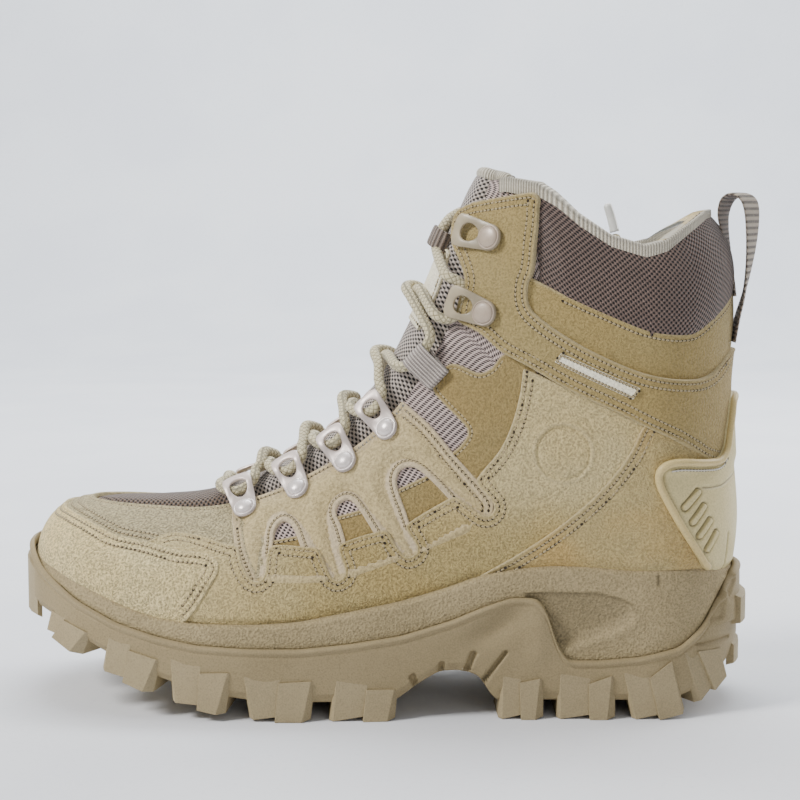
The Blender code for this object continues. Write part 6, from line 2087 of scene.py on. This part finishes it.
def make_pull_loop():
    """Pull loop: webbing from inside the collar over its top and down behind the heel."""
    x, z, turn = smooth_line(PULL_LOOP, 120).T
    turn = np.radians(turn)
    centre = np.stack([x, 0 * x, z], 1)
    half = 9.3 * np.stack([np.sin(turn), np.cos(turn), 0 * x], 1)
    normal = unit(np.cross(np.gradient(centre, axis=0), half))
    mesh = strap_mesh("pull_loop_webbing", centre, half, normal, 0.75, two_toned=True)
    add_piece("pull_loop_webbing", mesh, [WEBBING, DARK_WEBBING], ["pull_loop"])


WEB_LOOP_ROW, WEB_LOOP_Y, WEB_LOOP_BEND = 11.9, 23.0, 3.4


def web_loop_frame(side):
    """Frame of the side's webbing loop on the upper."""
    return frame_on_upper(WEB_LOOP_ROW, WEB_LOOP_Y, side, 1.3)


def make_web_loop(side, end):
    """Folded webbing on the eyestay's top, its fold round the lace over the throat's edge."""
    frame = web_loop_frame(side)
    turn = np.linspace(-np.pi / 2, np.pi / 2, 19)
    u = np.concatenate([[-8.5, -6.5, -4.5, -2, 1], 4 + WEB_LOOP_BEND * np.cos(turn),
                        [1.5, -1.5, -4.5, -7, -8.5]])
    n = np.concatenate([[0.5] * 5, WEB_LOOP_BEND + 0.4 + WEB_LOOP_BEND * np.sin(turn),
                        [6.6, 5.2, 3.4, 2.2, 1.7]])
    flat = even_line(smooth_line(np.stack([u, n], 1), 200), 0.5)
    u, n = flat.T
    step = unit(np.gradient(flat, axis=0))
    level = (np.zeros(3), *frame[1:])
    normal = placed(level, -step[:, 1], 0 * u, step[:, 0])
    half = np.repeat(placed(level, 0.0, 5.6, 0.0)[None], len(u), 0)
    name = f"web_loop_{end}_webbing"
    mesh = strap_mesh(name, placed(frame, u, 0 * u, n), half, normal, 0.55)
    add_piece(name, mesh, LOOP_WEBBING, [f"web_loop_{end}"])


KEEPER_ROW, KEEPER_HALF_Y = 14.45, 9.6


def make_keeper():
    """Woven bridge on the tongue that both ends of the lace run under."""
    share = np.linspace(-1, 1, 61)
    lift = 0.5 + 5.6 * np.sqrt(np.clip(1 - np.abs(share)**4, 0, 1))
    before, centre, after = (tongue_point(KEEPER_ROW + step + 0 * share, share * KEEPER_HALF_Y,
                                          lift) for step in (-0.3, 0.0, 0.3))
    half = unit(after - before) * 4.2
    normal = unit(np.cross(np.gradient(centre, axis=0), half))
    mesh = strap_mesh("keeper_webbing", centre, half, normal, 0.55)
    add_piece("keeper_webbing", mesh, DARK_WEBBING, ["tongue_keeper"])


# ---- the lace -----------------------------------------------------------------------------------
# The lace's steps: along a plate or loop, across it from its toe side, and off the upper.
PLATE_STEPS = [(21.5, 7.8, 0.2), (16.6, 6.6, 0.8), (12.6, 3.6, 1.0), (11.4, 0.0, 0.9),
               (12.4, -3.8, 1.0), (15.6, -7.2, 1.2), (20.5, -8.4, 1.0)]
HOOK_STEPS = [(22.0, 7.5, 0.6), (16.5, 8.2, -0.4), (12.5, 4.5, -2.2), (11.6, 0.0, -2.6),
              (12.8, -4.8, -2.2), (16.8, -8.2, -0.2), (22.0, -9.0, 1.4)]
LOOP_STEPS = [(10.5, 9.5, 2.2), (5.8, 6.2, 3.6), (4.3, 0.0, 3.8), (5.6, -6.4, 3.6),
              (9.5, -10.5, 2.6)]
CROSSINGS = [8.22, 9.22, 10.2, 11.32, 12.75]      # the tongue's rows at which the lace crosses
# Past the last hook: the tongue's row, y, what the side adds to y, and the lift.
KEEPER_STEPS = [(14.1, 0.0, 7.0, 3.2), (14.45, 0.3, 2.4, 2.9), (14.95, 3.5, 2.3, 2.9),
                (15.5, 9.5, 2.3, 2.9), (16.1, 15.5, 1.5, 2.0)]


def laced(frame, side, steps):
    """Places of the steps on a frame, whose second direction points to the toe on the outer
    side and away from it on the inner one."""
    return [placed(frame, u, -side * v, n) for u, v, n in steps]


def lace_half(first, lifts):
    """The lace from the middle of the first row to the keeper, changing sides at each crossing:
    through four ring plates and the webbing loop, round the lower hook."""
    points, side = [], first
    for number in range(6):
        if number < len(RING_ROWS):
            points += laced(plate_frame(RING_ROWS[number], RING_Y, side), side, PLATE_STEPS)
        elif number == len(RING_ROWS):
            points += laced(web_loop_frame(side), side, LOOP_STEPS)
        else:
            row, y, turn = HOOKS[0]
            points += laced(plate_frame(row, y, side, turn, HOOK_RISE), side, HOOK_STEPS)
        if number < len(CROSSINGS):
            for step, more in ((-1, 0.4), (0, 1.0), (1, 0.4)):
                points.append(tongue_point(CROSSINGS[number] + 0.12 * step, -side * 7.0 * step,
                                           2.9 + lifts[number % 2] * more))
            side = -side
    points += [tongue_point(row, y + side * more, lift) for row, y, more, lift in KEEPER_STEPS]
    return points + [np.array([50.0 + 0.6 * side, 19.6, 199.5 + 2 * side]),
                     np.array([53.5, 20.6, 195.5])]


def rounded_line(line, reach):
    """The line read at even steps and eased over about reach millimetres."""
    line = even_line(line, 0.5)
    turn = np.arange(-8, 9) * 0.5
    weight = np.exp(-0.5 * (turn / reach)**2)
    weight /= weight.sum()
    padded = np.concatenate([np.repeat(line[:1], 8, 0), line, np.repeat(line[-1:], 8, 0)])
    return sum(w * padded[k:k + len(line)] for k, w in enumerate(weight))


def make_lace():
    """The whole lace as one braided cord, from one end behind the keeper to the other."""
    outer, inner = lace_half(-1, (4.6, 0.0)), lace_half(1, (0.0, 4.6))
    middle = [tongue_point(row, y, 2.9) for row, y in ((7.42, 4.0), (7.36, 0.0), (7.42, -4.0))]
    line = smooth_line(np.array(inner[::-1] + middle + outer), 2400)
    line = rounded_line(line, 1.0)
    names = ["lace_bar"] + [f"lace_cross_{k}" for k in range(1, 7)]
    add_piece("boot_lace", cord_mesh("boot_lace", line, 2.1, step=0.5), LACE, names)


make_counter()
make_hardware()
make_pull_loop()
for side, end in SIDES:
    make_web_loop(side, end)
make_keeper()
make_lace()
sew_all("stitches", THREAD_RUNS, [THREAD, NEEDLE_HOLE], ("upper",))
sew_all("counter_stitches", PALE_RUNS, [PALE_THREAD, NEEDLE_HOLE],
        ("heel_counter",))
for slot in frame["nodes"]["insole"].material_slots:
    slot.material = INSOLE_CLOTH
